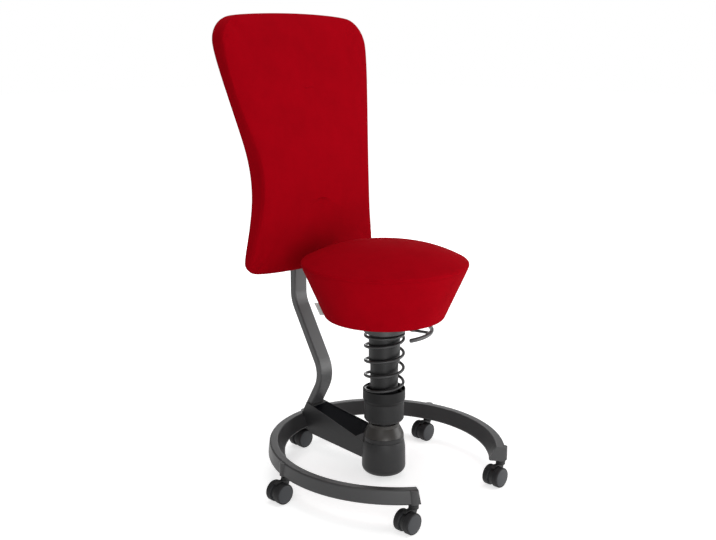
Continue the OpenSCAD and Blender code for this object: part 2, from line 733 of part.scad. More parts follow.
module column_tube() {
    color(steel) difference() {
        union() {
            translate([0, 0, column_bottom_z]) cylinder(h = column_top_z - column_bottom_z, r = column_r);
            translate([0, 0, flange_z]) cylinder(h = flange_t, r = sleeve_bore_r - gap);
        }
        translate([0, 0, column_bottom_z - 1]) cylinder(h = 300, r = column_bore_r);
        for (side = [-1, 1])
            translate([0, 0, pivot_z]) rotate([side * 90, 0, 0]) cylinder(h = 40, r = pin_r);
    }
}

module column_bushes() {
    color(plastic) {
        tube(guide_bottom_z + 4, 12, column_bore_r, guide_r + run_clear);
        tube(column_top_z - 16, 16, column_bore_r, guide_r + run_clear);
    }
}

module lower_sleeve() {
    z0 = flange_z + flange_t;
    color(coat) rotate_extrude() polygon([[column_r, z0], [lower_sleeve_r, z0],
        [lower_sleeve_r, lower_sleeve_top_z],
        [lower_sleeve_r - telescope_wall, lower_sleeve_top_z], [lower_sleeve_r - telescope_wall, z0 + 3],
        [column_r, z0 + 3]]);
}

module adjusting_sleeve() {
    rib_z = flange_z + flange_t + gap;
    color(plastic) rotate_extrude()
        polygon([[sleeve_bore_r, sleeve_bottom_z], [sleeve_r - 2.2, sleeve_bottom_z],
        [sleeve_r, sleeve_bottom_z + 3.5], [sleeve_r, sleeve_top_z - 0.6], [sleeve_r - 0.6, sleeve_top_z],
        [sleeve_bore_r, sleeve_top_z], [sleeve_bore_r, rib_z + 4], [lower_sleeve_r + 2.5, rib_z + 4],
        [lower_sleeve_r + 2.5, rib_z], [sleeve_bore_r, rib_z]]);
}

module spring_cup() {
    skirt_r = sleeve_bore_r - 0.4;
    skirt_z = cup_bottom_z - 14;
    color(plastic) rotate_extrude()
        polygon([[lower_sleeve_r + 0.8, cup_floor_z], [skirt_r - 3.3, cup_floor_z],
        [skirt_r - 3.3, skirt_z], [skirt_r, skirt_z], [skirt_r, cup_bottom_z], [sleeve_r, cup_bottom_z],
        [cup_r, cup_bottom_z + 7], [cup_r, cup_top_z - 0.5], [cup_r - 0.5, cup_top_z],
        [cup_r - cup_wall, cup_top_z], [cup_r - cup_wall, cup_floor_top],
            [lower_sleeve_r + 0.8, cup_floor_top]]);
}

// Height of the wire's middle after t turns
function climb(t, from) = t < from ? 0 : t < from + blend_turn ? pow(t - from, 2) / (2 * blend_turn) :
    t - from - blend_turn / 2;
function wire_z(t) = spring_low_z + end_pitch * t
    + (spring_pitch - end_pitch) * (climb(t, end_turn) - climb(t, spring_turns - end_turn - blend_turn));
function wire_point(t) = let (a = spring_phase + 360 * t)
    [spring_mean_r * cos(a), spring_mean_r * sin(a), wire_z(t)];
wire_points = [for (i = [0:spring_rings]) wire_point(spring_turns * i / spring_rings)];
apart = [for (i = [0:4:spring_rings]) for (j = [i + rings_per_turn / 2:spring_rings])
    norm(wire_points[i] - wire_points[j])];
echo("least gap of the spring's wire to itself", min(apart) - wire_d);

module coil_spring() {
    n = wire_sides;
    points = [for (i = [0:spring_rings]) for (k = [0:n - 1])
        let (a = spring_phase + 360 * spring_turns * i / spring_rings, b = 360 * k / n,
            tilt = atan((wire_z(min(spring_turns, (i + 0.5) / rings_per_turn)) - wire_z(max(0,
                (i - 0.5) / rings_per_turn)))
                * rings_per_turn / (2 * PI * spring_mean_r)),
            out = wire_r * cos(b), up = wire_r * sin(b))
        wire_points[i] + [out * cos(a) + up * sin(tilt) * sin(a),
            out * sin(a) - up * sin(tilt) * cos(a), up * cos(tilt)]];
    last = spring_rings * n;
    faces = concat(
        [for (i = [0:spring_rings - 1]) for (k = [0:n - 1]) for (t = [0:1])
            let (a = i * n + k, b = i * n + (k + 1) % n)
            t == 0 ? [a, b, b + n] : [a, b + n, a + n]],
        [for (k = [1:n - 2]) [0, k + 1, k]],
        [for (k = [1:n - 2]) [last, last + k, last + k + 1]]);
    color(coat) polyhedron(points = points, faces = faces);
}

module spring_plate() {
    color(coat) rotate_extrude() polygon([[guide_r, plate_bottom_z], [upper_sleeve_r, plate_bottom_z],
        [upper_sleeve_r, plate_bottom_z - 8], [upper_sleeve_r + 1, plate_bottom_z - 8],
        [spring_mean_r - wire_r - 0.7, plate_bottom_z - 4], [spring_mean_r - wire_r - 0.7, plate_bottom_z],
        [plate_r - 0.8, plate_bottom_z], [plate_r, plate_bottom_z + 0.8], [plate_r, plate_top_z - 2],
        [plate_r - 2, plate_top_z], [guide_r, plate_top_z]]);
}

module upper_sleeve() {
    color(coat) tube(upper_sleeve_bottom_z, plate_bottom_z - upper_sleeve_bottom_z,
        upper_sleeve_r, upper_sleeve_r - telescope_wall);
}

module guide_tube() {
    color(steel) difference() {
        translate([0, 0, guide_bottom_z]) cylinder(h = plate_top_z + 1.5 - guide_bottom_z, r = guide_r);
        translate([0, 0, guide_bottom_z + 3]) cylinder(h = 300, r = guide_bore_r);
        translate([0, 0, guide_bottom_z - 1]) cylinder(h = 10, r = rod_r + 1.5);
    }
}

module guide_bush() {
    color(plastic) tube(plate_top_z - 60, 61.5, guide_bore_r, cylinder_r + run_clear);
}

module bump_stop() {
    z0 = column_top_z + bounce_travel + 0.5;
    z1 = plate_bottom_z - gap;
    color(rubber) rotate_extrude() polygon([[guide_r + gap, z0], [guide_r + 5, z0], [guide_r + 7, z0 + 5],
        [guide_r + 4.5, z0 + 13], [guide_r + 8, z0 + 21], [guide_r + 8, z1], [guide_r + gap, z1]]);
}

module thrust_bearing() {
    color(steel) tube(guide_bottom_z + 3, 8, guide_bore_r, rod_r + run_clear);
}

module gas_rod() {
    z0 = guide_bottom_z + 11 + gap;
    top = cylinder_bottom_z + rod_reach;
    color(steel) {
        translate([0, 0, guide_bottom_z + 1]) cylinder(h = top - guide_bottom_z - 1, r = rod_r);
        translate([0, 0, z0]) cylinder(h = 3, r = rod_r + 4);
        translate([0, 0, top - 12]) cylinder(h = 12, r = cylinder_r - 2 - gap);
    }
}

module gas_cylinder() {
    color(dark) difference() {
        translate([0, 0, cylinder_bottom_z])
            cylinder(h = cylinder_top_z - cylinder_bottom_z, r = cylinder_r);
        translate([0, 0, cylinder_bottom_z - 1]) cylinder(h = 20, r = rod_r + run_clear);
        translate([0, 0, cylinder_bottom_z + 10])
            cylinder(h = cylinder_top_z - cylinder_bottom_z - 42, r = cylinder_r - 2);
        translate([0, 0, cylinder_top_z - 17]) cylinder(h = 20, r = release_r + run_clear);
    }
}

module release_pin() {
    color(steel) translate([0, 0, cylinder_top_z - 10])
        cylinder(h = pin_top_z - cylinder_top_z + 10, r = release_r);
}

// Turns its children from the YZ plane into the lever's own upright plane
module lever_plane() {
    rotate([0, 0, lever_azimuth - 90]) children();
}

module seat_plate() {
    z0 = shell_floor_z - seat_plate_t;
    color(steel) difference() {
        union() {
            translate([-seat_plate_w / 2, -seat_plate_w / 2, z0])
                cube([seat_plate_w, seat_plate_w, seat_plate_t]);
            translate([0, 0, z0 - 4]) cylinder(h = cylinder_top_z - z0 + 4, r = cylinder_r + 7);
            lever_plane() for (side = [-1, 1])
                translate([side * 10.5 - 2.5, lever_pivot_r - 9, z0]) cube([5, 18, lever_pivot_z + 9 - z0]);
        }
        translate([0, 0, z0 - 5]) cylinder(h = 60, r = cylinder_r);
        lever_plane() {
            translate([-7.5, lever_pivot_r - 9, z0 - 5])
                cube([15, lever_drop_r + lever_d - 20.5, seat_plate_t + 6]);
            translate([-20, lever_pivot_r, lever_pivot_z]) rotate([0, 90, 0])
                cylinder(h = 40, r = lever_pin_r);
        }
        for (x = [-1, 1]) for (y = [-1, 1])
            translate([x * (seat_plate_w / 2 - 13), y * (seat_plate_w / 2 - 13), z0 - 1])
                cylinder(h = 20, r = 3);
    }
}

// Line of the lever in its own frame, where Y runs outwards and X across
function eased(p, r, n) = concat([p[0]],
    [for (i = [1:len(p) - 2]) for (q = corner(p[i - 1], p[i], p[i + 1], r[i], n)) q], [p[len(p) - 1]]);
lever_line = concat(
    [for (q = eased([[-lever_r, lever_arm_z], [cylinder_r - 1, lever_arm_z], [lever_pivot_r, lever_pivot_z],
            [lever_drop_r, lever_z + 45], [lever_drop_r, lever_z], [lever_drop_r + 16, lever_z]],
            [0, lever_d, lever_d, 10, 10], 5))
        [0, q[0], q[1]]],
    [[(lever_reach + 1) * cos(79), (lever_reach + 1) * sin(79), lever_z]]);

// Normals carried along a line without twisting
function lever_way(i) = unit(lever_line[min(i + 1, len(lever_line) - 1)] - lever_line[max(i - 1, 0)]);
function carried(i, n, done) = i == len(lever_line) ? done :
    let (t = lever_way(i), m = unit(n - t * (n * t))) carried(i + 1, m, concat(done, [m]));

module lever_rod() {
    sides = 16;
    normals = carried(0, [1, 0, 0], []);
    last = (len(lever_line) - 1) * sides;
    points = [for (i = [0:len(lever_line) - 1]) for (k = [0:sides - 1])
        let (m = normals[i], b = cross(lever_way(i), m),
            a = 360 * k / sides) lever_line[i] + lever_r * (cos(a) * m + sin(a) * b)];
    faces = concat(
        [for (i = [0:len(lever_line) - 2]) for (k = [0:sides - 1]) for (t = [0:1])
            let (a = i * sides + k, b = i * sides + (k + 1) % sides)
            t == 0 ? [a, b + sides, b] : [a, a + sides, b + sides]],
        [for (k = [1:sides - 2]) [0, k, k + 1]],
        [for (k = [1:sides - 2]) [last, last + k + 1, last + k]]);
    polyhedron(points = points, faces = faces);
}

module height_lever() {
    color(coat) lever_plane() difference() {
        union() {
            lever_rod();
            translate([0, 0, lever_z + lever_step]) rotate([0, 0, 111 - lever_sweep]) {
                rotate_extrude(angle = lever_sweep)
                    translate([lever_reach, 0]) circle(d = lever_handle_d);
                for (side = [-1, 1])
                    rotate([0, 0, side > 0 ? lever_sweep : 0]) translate([lever_reach, -side * 0.3, 0])
                        rotate([-90 * side, 0, 0])
                            cylinder(h = 2.1, d1 = lever_handle_d - 0.1, d2 = lever_handle_d - 3.4);
            }
            translate([-7, lever_pivot_r, lever_pivot_z]) rotate([0, 90, 0]) cylinder(h = 14, r = 7);
        }
        translate([-10, lever_pivot_r, lever_pivot_z]) rotate([0, 90, 0])
            cylinder(h = 20, r = lever_pin_r + run_clear);
    }
}

module lever_pin() {
    color(steel) lever_plane() translate([-15, lever_pivot_r, lever_pivot_z]) rotate([0, 90, 0])
        cylinder(h = 30, r = lever_pin_r);
}

module seat_shell() {
    z0 = shell_floor_z;
    z1 = foam_under_z - gap;
    r0 = seat_side(z0) - foam_side;
    r1 = seat_side(z1) - foam_side;
    color(dark) difference() {
        rotate_extrude() polygon([[70, z0], [r0, z0], [r1, z1], [0, z1], [0, z1 - shell_t],
            [r1 - shell_t - 1, z1 - shell_t], [r0 - shell_t - 1, z0 + shell_t], [70, z0 + shell_t]]);
        for (x = [-1, 1]) for (y = [-1, 1])
            translate([x * (seat_plate_w / 2 - 13), y * (seat_plate_w / 2 - 13), z0 - 1])
                cylinder(h = 20, r = 3);
    }
}

module seat_pan() {
    z0 = seat_bottom_z + 1;
    color(plastic) difference() {
        rotate_extrude() polygon([[cylinder_r + 12, z0], [pan_r - 2, z0], [pan_r, z0 + 2],
            [pan_r, shell_floor_z],
            [pan_r - 4, shell_floor_z], [pan_r - 4, z0 + 3], [cylinder_r + 12, z0 + 3]]);
        lever_plane() translate([-9, 0, z0 - 5]) cube([18, 78, 12]);
    }
}

module seat_screws() {
    z0 = shell_floor_z - seat_plate_t;
    color(steel) for (x = [-1, 1]) for (y = [-1, 1])
        translate([x * (seat_plate_w / 2 - 13), y * (seat_plate_w / 2 - 13), 0]) {
            translate([0, 0, z0 - 3.5]) cylinder(h = 3.5, r = 5.5);
            translate([0, 0, z0]) cylinder(h = seat_plate_t + shell_t + 2, r = 3);
        }
}

module seat_cushion() {
    clear = gap;
    z0 = shell_floor_z - clear;
    r0 = seat_side(z0) - foam_side + clear;
    r1 = seat_side(foam_under_z) - foam_side + clear;
    dome = [for (i = [1:12]) let (r = seat_r * 0.97 * sin(90 * i / 12))
        [r, seat_rim_z + seat_crown * (1 - pow(r / seat_r, seat_crown_power))]];
    outer = rounded(concat([[0, seat_top_z]], dome,
        [[seat_r, seat_rim_z], [seat_bottom_r, seat_bottom_z], [pan_r + 1.5, seat_bottom_z],
            [pan_r + 1.5, z0], [r0, z0], [r1, foam_under_z], [0, foam_under_z]]),
        concat([for (i = [0:12]) 0], [seat_edge_r, seat_bottom_edge_r, 0, 0, 0, 0, 0]), 5);
    color(red) rotate_extrude($fn = 144) polygon(outer);
}

module seat_tag() {
    color(grey) rotate([0, 0, 134])
        translate([0, 0.8, 0]) rotate([90, 0, 0]) linear_extrude(1.6)
            polygon([[seat_side(tag_z - 16) + gap, tag_z - 16], [seat_side(tag_z - 16) + 12, tag_z - 16],
                [seat_side(tag_z + 16) + 12, tag_z + 16], [seat_side(tag_z + 16) + gap, tag_z + 16]]);
}

module backrest_bar() {
    color(coat) difference() {
        bar_solid(0);
        bar_screw_places() translate([0, 0, 5]) cylinder(h = 40, r = 3);
    }
}

module slider_bracket() {
    front = bar_front_y - 5.2;
    rear = bar_rear_y + 5.2;
    color(steel) difference() {
        union() {
            translate([-bar_w / 2 - 4.5, front, back_hinge_z - 25]) cube([bar_w + 9, rear - front, 50]);
            translate([-14, hinge_y, back_hinge_z - 8]) cube([28, front - hinge_y + 1, 16]);
            translate([-14, hinge_y, back_hinge_z]) rotate([0, 90, 0]) cylinder(h = 28, r = 8);
        }
        translate([-bar_w / 2 - 0.2, bar_front_y - 0.2, back_hinge_z - 30])
            cube([bar_w + 0.4, bar_t + 0.4, 60]);
        translate([-20, hinge_y, back_hinge_z]) rotate([0, 90, 0]) cylinder(h = 40, r = back_pin_r);
        translate([0, bar_rear_y - 2, back_hinge_z]) rotate([-90, 0, 0])
            cylinder(h = 12, r = 4 + run_clear);
    }
}

module clamp_knob() {
    z = back_hinge_z;
    y0 = bar_rear_y + 5.5;
    color(plastic) {
        translate([0, bar_rear_y + 0.3, z]) rotate([-90, 0, 0]) cylinder(h = 8, r = 4);
        difference() {
            translate([0, y0, z]) rotate([-90, 0, 0]) cylinder(h = 18, r = 19);
            for (a = [0:60:300])
                translate([23 * cos(a), y0 + 4, z + 23 * sin(a)]) rotate([-90, 0, 0])
                    cylinder(h = 20, r = 8);
        }
    }
}

module back_hinge_plate() {
    y0 = back_plane_y + 0.8;
    color(steel) difference() {
        union() {
            translate([-32, y0, back_hinge_z - 25]) cube([64, 4, 48]);
            for (side = [-1, 1]) translate([side * 16.8 - 2.2, 0, 0]) {
                translate([0, y0 + 3, back_hinge_z - 8]) cube([4.4, hinge_y - y0 - 3, 16]);
                translate([0, hinge_y, back_hinge_z]) rotate([0, 90, 0]) cylinder(h = 4.4, r = 8);
            }
        }
        translate([-30, hinge_y, back_hinge_z]) rotate([0, 90, 0])
            cylinder(h = 60, r = back_pin_r + run_clear);
    }
}

module hinge_pin() {
    color(steel) translate([-20, hinge_y, back_hinge_z]) rotate([0, 90, 0])
        cylinder(h = 40, r = back_pin_r);
}

module rubber_buffers() {
    y0 = back_plane_y + 4.8 + gap;
    reach = bar_front_y - 5.2 - 2.6 - y0;
    color(rubber) for (z = [-1, 1])
        translate([-12, y0, back_hinge_z + z * 17 - 4.5]) cube([24, reach, 9]);
}

module backrest_board() {
    color(foam) ring_stack([
        rear_ring(1.2, -back_panel_t), rear_ring(1.2, -2.5), rear_ring(2.2, -0.8), rear_ring(4.5, 0)]);
}

module backrest_cushion() {
    e = back_edge_r;
    color(red) ring_stack(concat(
        [for (d = [190, 130, 75, 30]) front_ring(d, crown_in(d))],
        [for (a = [90, 60, 30, 0]) front_ring(e * (1 - cos(a)),
            e * (1 - sin(a)) + (a == 90 ? crown_in(e) : 0))],
        [rear_ring(0, -back_panel_t - gap)]));
}

// Casters: the hood trails towards -X, and the wheels turn about Y
module caster_fork(i) {
    ax = -caster_trail;
    color(plastic) translate(stem_place(caster_angles[i])) {
        translate([0, 0, 30]) cylinder(h = socket_top_z - 2 - 30, r = stem_r);
        translate([0, 0, hood_top_z - 9]) cylinder(h = 9, r = 12);
        intersection() {
            translate([0, hood_w / 2, 0]) rotate([90, 0, 0]) linear_extrude(hood_w) union() {
                translate([ax, wheel_r]) circle(r = wheel_r - 4);
                polygon([[ax - 8, wheel_r + 18], [ax + 16, wheel_r - 12], [7, hood_top_z - 12],
                    [10.5, hood_top_z - 8],
                    [10.5, hood_top_z - 1], [-10.5, hood_top_z - 1], [-15, wheel_r + 22]]);
            }
            translate([-100, -50, 2]) cube([200, 100, hood_top_z - 2]);
        }
        translate([ax, hood_w / 2 - 0.4, wheel_r]) rotate([90, 0, 0]) rotate([0, 0, 28])
            rotate_extrude(angle = 90) translate([wheel_r + 1.2, 0]) square([2.4, hood_w - 0.8]);
        translate([ax, 0, wheel_r]) rotate([90, 0, 0])
            cylinder(h = wheel_spacing + wheel_w - 5, r = axle_r, center = true);
    }
}

module wheel(i, side) {
    w = wheel_w;
    color(dark) translate(stem_place(caster_angles[i]))
        translate([-caster_trail, side * (wheel_spacing - w) / 2, wheel_r])
        rotate([-90 * side, 0, 0])
            rotate_extrude() polygon([[axle_r + run_clear, 0], [wheel_r - 1.5, 0], [wheel_r, 1.5],
                [wheel_r, w - 3.5], [wheel_r - 0.8, w - 1.7], [wheel_r - 2.4, w - 0.8],
                [wheel_r - 2.4, w - 2], [wheel_r - 3.2, w - 2], [wheel_r - 3.2, w - 1.3],
                [wheel_r - 6.5, w - 0.5], [12, w - 0.1],
                [5, w], [0, w], [0, w - 2], [axle_r + run_clear, w - 2]]);
}

// What is drawn
foot_ring();
caster_sockets();
support_arm();
arm_cover();
frame_bolts();
base_housing();
base_cap();
tilt_ring();
dome_collar();
elastomer_ring();
pivot_pins_x();
gimbal_ring();
pivot_pins_y();
column_tube();
column_bushes();
lower_sleeve();
adjusting_sleeve();
spring_cup();
coil_spring();
spring_plate();
upper_sleeve();
guide_tube();
guide_bush();
bump_stop();
thrust_bearing();
gas_rod();
gas_cylinder();
release_pin();
seat_plate();
height_lever();
lever_pin();
seat_shell();
seat_pan();
seat_screws();
seat_cushion();
seat_tag();
backrest_bar();
slider_bracket();
clamp_knob();
back_hinge_plate();
hinge_pin();
rubber_buffers();
backrest_board();
backrest_cushion();
caster_fork(0);  // rear_caster_fork
wheel(0, 1);  // rear_wheel_a
wheel(0, -1);  // rear_wheel_b
caster_fork(1);  // left_caster_fork
wheel(1, 1);  // left_wheel_a
wheel(1, -1);  // left_wheel_b
caster_fork(2);  // right_caster_fork
wheel(2, 1);  // right_wheel_a
wheel(2, -1);  // right_wheel_b
caster_fork(3);  // front_left_caster_fork
wheel(3, 1);  // front_left_wheel_a
wheel(3, -1);  // front_left_wheel_b
caster_fork(4);  // front_right_caster_fork
wheel(4, 1);  // front_right_wheel_a
wheel(4, -1);  // front_right_wheel_b
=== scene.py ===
"""Looks of a balance stool with a backrest: upholstery, coil spring, lever, finishes and stage."""

import json
import math

import bpy
from mathutils import Matrix, Vector, noise


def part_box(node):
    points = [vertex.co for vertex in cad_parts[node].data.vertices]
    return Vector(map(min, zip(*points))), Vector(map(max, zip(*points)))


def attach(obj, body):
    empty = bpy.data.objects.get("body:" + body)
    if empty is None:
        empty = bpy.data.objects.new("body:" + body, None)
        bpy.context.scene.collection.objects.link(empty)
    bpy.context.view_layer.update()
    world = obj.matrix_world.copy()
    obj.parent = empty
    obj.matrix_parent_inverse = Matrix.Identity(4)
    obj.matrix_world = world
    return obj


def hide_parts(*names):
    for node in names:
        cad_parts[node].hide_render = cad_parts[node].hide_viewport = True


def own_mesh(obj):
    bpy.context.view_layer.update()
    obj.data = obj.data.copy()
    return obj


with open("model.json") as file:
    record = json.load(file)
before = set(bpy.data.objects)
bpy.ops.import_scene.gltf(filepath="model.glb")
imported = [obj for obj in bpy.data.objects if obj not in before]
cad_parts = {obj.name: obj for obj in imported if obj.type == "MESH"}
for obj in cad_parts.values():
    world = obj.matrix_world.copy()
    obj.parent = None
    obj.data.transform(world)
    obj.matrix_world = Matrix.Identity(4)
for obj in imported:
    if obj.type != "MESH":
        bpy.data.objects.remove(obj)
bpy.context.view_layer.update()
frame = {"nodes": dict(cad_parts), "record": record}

bl_info = {
    "name": "Balance Stool Workshop",
    "version": (1, 0, 0),
    "blender": (4, 5, 0),
    "location": "View3D > Sidebar > Stool",
    "description": "Upholsters and finishes a balance stool with a backrest",
    "category": "Object",
}

CASTERS = ("rear", "left", "right", "front_left", "front_right")
# Depth of a wheel's soft tread, from its rim to the groove in its face, in metres
TREAD = 0.0033
# Where the lever points, seen from above, in degrees from the object's x axis
LEVER_TURN = -136
# Where the tape is sewn to the seat, in degrees from the object's x axis
TAPE_TURN = 134
# Frames that a cover is given to settle on its filling
SETTLING = 20


# Sizes and colours


class STOOL_PG_seat(bpy.types.PropertyGroup):
    """Sizes of the round seat."""

    rim_radius: bpy.props.FloatProperty(
        name="Rim radius", description="Radius where the dome meets the sides, before the edge is softened",
        default=0.2095, min=0.15, max=0.25, unit="LENGTH")
    rim_height: bpy.props.FloatProperty(
        name="Rim height", description="Height of the widest circle above the floor",
        default=0.5645, min=0.4, max=0.8, unit="LENGTH")
    crown: bpy.props.FloatProperty(
        name="Crown", description="Rise of the dome above the widest circle",
        default=0.048, min=0.0, max=0.08, unit="LENGTH")
    crown_power: bpy.props.FloatProperty(
        name="Flatness of the dome", description="How flat the dome stays before it falls to the rim",
        default=2.5, min=1.5, max=4.0)
    edge_radius: bpy.props.FloatProperty(
        name="Edge", description="Radius of the soft edge round the top",
        default=0.008, min=0.002, max=0.02, unit="LENGTH")
    base_radius: bpy.props.FloatProperty(
        name="Underside radius", description="Radius where the sides meet the underside",
        default=0.1485, min=0.1, max=0.2, unit="LENGTH")
    base_height: bpy.props.FloatProperty(
        name="Underside height", description="Height of the underside above the floor",
        default=0.4257, min=0.3, max=0.6, unit="LENGTH")
    base_edge_radius: bpy.props.FloatProperty(
        name="Lower edge", description="Radius of the soft edge round the underside",
        default=0.009, min=0.002, max=0.02, unit="LENGTH")
    opening_radius: bpy.props.FloatProperty(
        name="Opening", description="Radius of the opening in the cover under the seat",
        default=0.1195, min=0.08, max=0.14, unit="LENGTH")
    seam_depth: bpy.props.FloatProperty(
        name="Seam depth", description="Depth of the sewn line under the rim",
        default=0.0008, min=0.0, max=0.004, unit="LENGTH")
    fill: bpy.props.FloatProperty(
        name="Fill", description="How tightly the cover is filled",
        default=0.8, min=0.0, max=1.0, subtype="FACTOR")


class STOOL_PG_backrest(bpy.types.PropertyGroup):
    """How the backrest's cover sits on its foam."""

    seam_depth: bpy.props.FloatProperty(
        name="Seam depth", description="Depth of the sewn line round the front",
        default=0.0011, min=0.0, max=0.004, unit="LENGTH")
    stretch: bpy.props.FloatProperty(
        name="Stretch", description="Width of the covered backrest over that of its foam",
        default=1.008, min=1.0, max=1.03)
    swell: bpy.props.FloatProperty(
        name="Swell", description="How far the cover may rise between its seams",
        default=0.004, min=0.0, max=0.01, unit="LENGTH")
    fill: bpy.props.FloatProperty(
        name="Fill", description="How tightly the cover is filled",
        default=0.7, min=0.0, max=1.0, subtype="FACTOR")


class STOOL_PG_wire(bpy.types.PropertyGroup):
    """Sizes of the coil spring and the height lever."""

    wire: bpy.props.FloatProperty(
        name="Spring wire", description="Thickness of the spring's wire",
        default=0.0076, min=0.005, max=0.009, unit="LENGTH")
    coil: bpy.props.FloatProperty(
        name="Spring", description="Outer diameter of the spring",
        default=0.1046, min=0.09, max=0.12, unit="LENGTH")
    turns: bpy.props.FloatProperty(
        name="Turns", description="Number of turns with the two closed ones",
        default=5.9, min=4.0, max=8.0)
    low: bpy.props.FloatProperty(
        name="Lower end", description="Height of the wire's middle at the lower end",
        default=0.2161, min=0.2, max=0.25, unit="LENGTH")
    high: bpy.props.FloatProperty(
        name="Upper end", description="Height of the wire's middle at the upper end",
        default=0.3819, min=0.35, max=0.42, unit="LENGTH")
    start: bpy.props.FloatProperty(
        name="Start", description="Direction of the lower end of the wire",
        default=math.radians(45), subtype="ANGLE")
    lever: bpy.props.FloatProperty(
        name="Lever leg", description="Thickness of the height lever's leg",
        default=0.007, min=0.006, max=0.01, unit="LENGTH")
    handle: bpy.props.FloatProperty(
        name="Lever handle", description="Thickness of the height lever's curved handle",
        default=0.0105, min=0.008, max=0.013, unit="LENGTH")
    reach: bpy.props.FloatProperty(
        name="Reach", description="Distance from the column's axis to the middle of the handle",
        default=0.118, min=0.1, max=0.13, unit="LENGTH")
    bounce: bpy.props.FloatProperty(
        name="Bounce", description="Travel of the spring under load",
        default=0.05, min=0.02, max=0.08, unit="LENGTH")


class STOOL_PG_finish(bpy.types.PropertyGroup):
    """Colours of the stool."""

    fabric: bpy.props.FloatVectorProperty(
        name="Fabric", description="Colour of the upholstery",
        default=(0.335, 0.0004, 0.0052), size=3, min=0, max=1, subtype="COLOR")
    coat: bpy.props.FloatVectorProperty(
        name="Powder coat", description="Colour of the coated steel",
        default=(0.036, 0.036, 0.037), size=3, min=0, max=1, subtype="COLOR")
    plastic: bpy.props.FloatVectorProperty(
        name="Mouldings", description="Colour of the black mouldings",
        default=(0.0125, 0.0125, 0.013), size=3, min=0, max=1, subtype="COLOR")
    cover: bpy.props.FloatVectorProperty(
        name="Covers", description="Colour of the darkest covers",
        default=(0.0022, 0.0026, 0.0042), size=3, min=0, max=1, subtype="COLOR")
    steel: bpy.props.FloatVectorProperty(
        name="Bare steel", description="Colour of the plated steel",
        default=(0.50, 0.50, 0.51), size=3, min=0, max=1, subtype="COLOR")
    tape: bpy.props.FloatVectorProperty(
        name="Tape", description="Colour of the sewn tape on the seat",
        default=(0.55, 0.57, 0.55), size=3, min=0, max=1, subtype="COLOR")


class STOOL_PG_stage(bpy.types.PropertyGroup):
    """Camera, floor and light."""

    camera_place: bpy.props.FloatVectorProperty(
        name="Camera", description="Where the camera stands",
        default=(-1.72534, -1.56424, 1.07794), size=3, subtype="XYZ", unit="LENGTH")
    camera_aim: bpy.props.FloatVectorProperty(
        name="Aim", description="What the camera looks at",
        default=(-0.04590, 0.04782, 0.54263), size=3, subtype="XYZ", unit="LENGTH")
    lens: bpy.props.FloatProperty(
        name="Lens", description="Focal length on a 36 mm sensor, in millimetres",
        default=48.67, min=20, max=120)
    key: bpy.props.FloatProperty(
        name="Key light", description="Power of the large soft light, in watts",
        default=41.0, min=0)
    fill: bpy.props.FloatProperty(
        name="Fill light", description="Power that the other lamps take their shares of, in watts",
        default=7.0, min=0)
    air: bpy.props.FloatProperty(
        name="Ambient light", description="Strength of the even light all round",
        default=0.29, min=0)


# Helpers


def deselect():
    """Leaves edit mode and deselects every object."""
    if bpy.context.object and bpy.context.object.mode != "OBJECT":
        bpy.ops.object.mode_set(mode="OBJECT")
    bpy.ops.object.select_all(action="DESELECT")


def take(piece):
    """Makes one piece the active and only selected object."""
    deselect()
    piece.select_set(True)
    bpy.context.view_layer.objects.active = piece
    return piece


def apply_all(piece):
    """Applies the piece's modifiers from first to last."""
    take(piece)
    for name in [m.name for m in piece.modifiers]:
        bpy.ops.object.modifier_apply(modifier=name)
    return piece


def new_piece(name, points, edges=(), faces=()):
    """An object of its own with these points, edges and faces."""
    mesh = bpy.data.meshes.new(name)
    mesh.from_pydata([tuple(p) for p in points], list(edges), list(faces))
    piece = bpy.data.objects.new(name, mesh)
    bpy.context.scene.collection.objects.link(piece)
    return take(piece)


def merged_copy(node, name):
    """A copy of a CAD node's mesh with its loose triangles joined into one skin."""
    source = frame["nodes"][node]
    piece = bpy.data.objects.new(name, source.data.copy())
    bpy.context.scene.collection.objects.link(piece)
    for key in list(piece.keys()):
        del piece[key]
    take(piece)
    bpy.ops.object.mode_set(mode="EDIT")
    bpy.ops.mesh.select_all(action="SELECT")
    bpy.ops.mesh.customdata_custom_splitnormals_clear()
    bpy.ops.mesh.remove_doubles(threshold=1e-5)
    bpy.ops.mesh.tris_convert_to_quads(face_threshold=math.radians(50), shape_threshold=math.radians(70))
    bpy.ops.object.mode_set(mode="OBJECT")
    return piece


def subdivide_once(piece):
    """Rounds the piece by one level of subdivision and applies all its modifiers."""
    finer = piece.modifiers.new("finer", "SUBSURF")
    finer.levels = finer.render_levels = 1
    return apply_all(piece)


def smooth(piece, angle):
    """Smooth shading that keeps edges sharper than the angle, in degrees."""
    take(piece)
    bpy.ops.object.shade_smooth_by_angle(angle=math.radians(angle))
    return piece


def dress(piece, material, slot, body, *nodes):
    """Gives a finished piece its material and body, and hides the nodes it stands for; the slot is not used.
    """
    piece.data.materials.clear()
    piece.data.materials.append(material)
    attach(piece, body)
    if nodes:
        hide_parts(*nodes)
    return piece


def sew(piece, nearness, depth):
    """Presses a sewn line into a cover and marks it on the mesh, where the fabric's colour is darkened as
    painted shade.
    """
    mesh = piece.data
    painted_seam_shade = mesh.attributes.new("seam", "FLOAT", "POINT")
    moves = []
    for vertex in mesh.vertices:
        weight = nearness(vertex)
        painted_seam_shade.data[vertex.index].value = weight
        moves.append((vertex, vertex.normal.copy() * (-depth * weight)))
    for vertex, move in moves:
        vertex.co += move
    mesh.update()


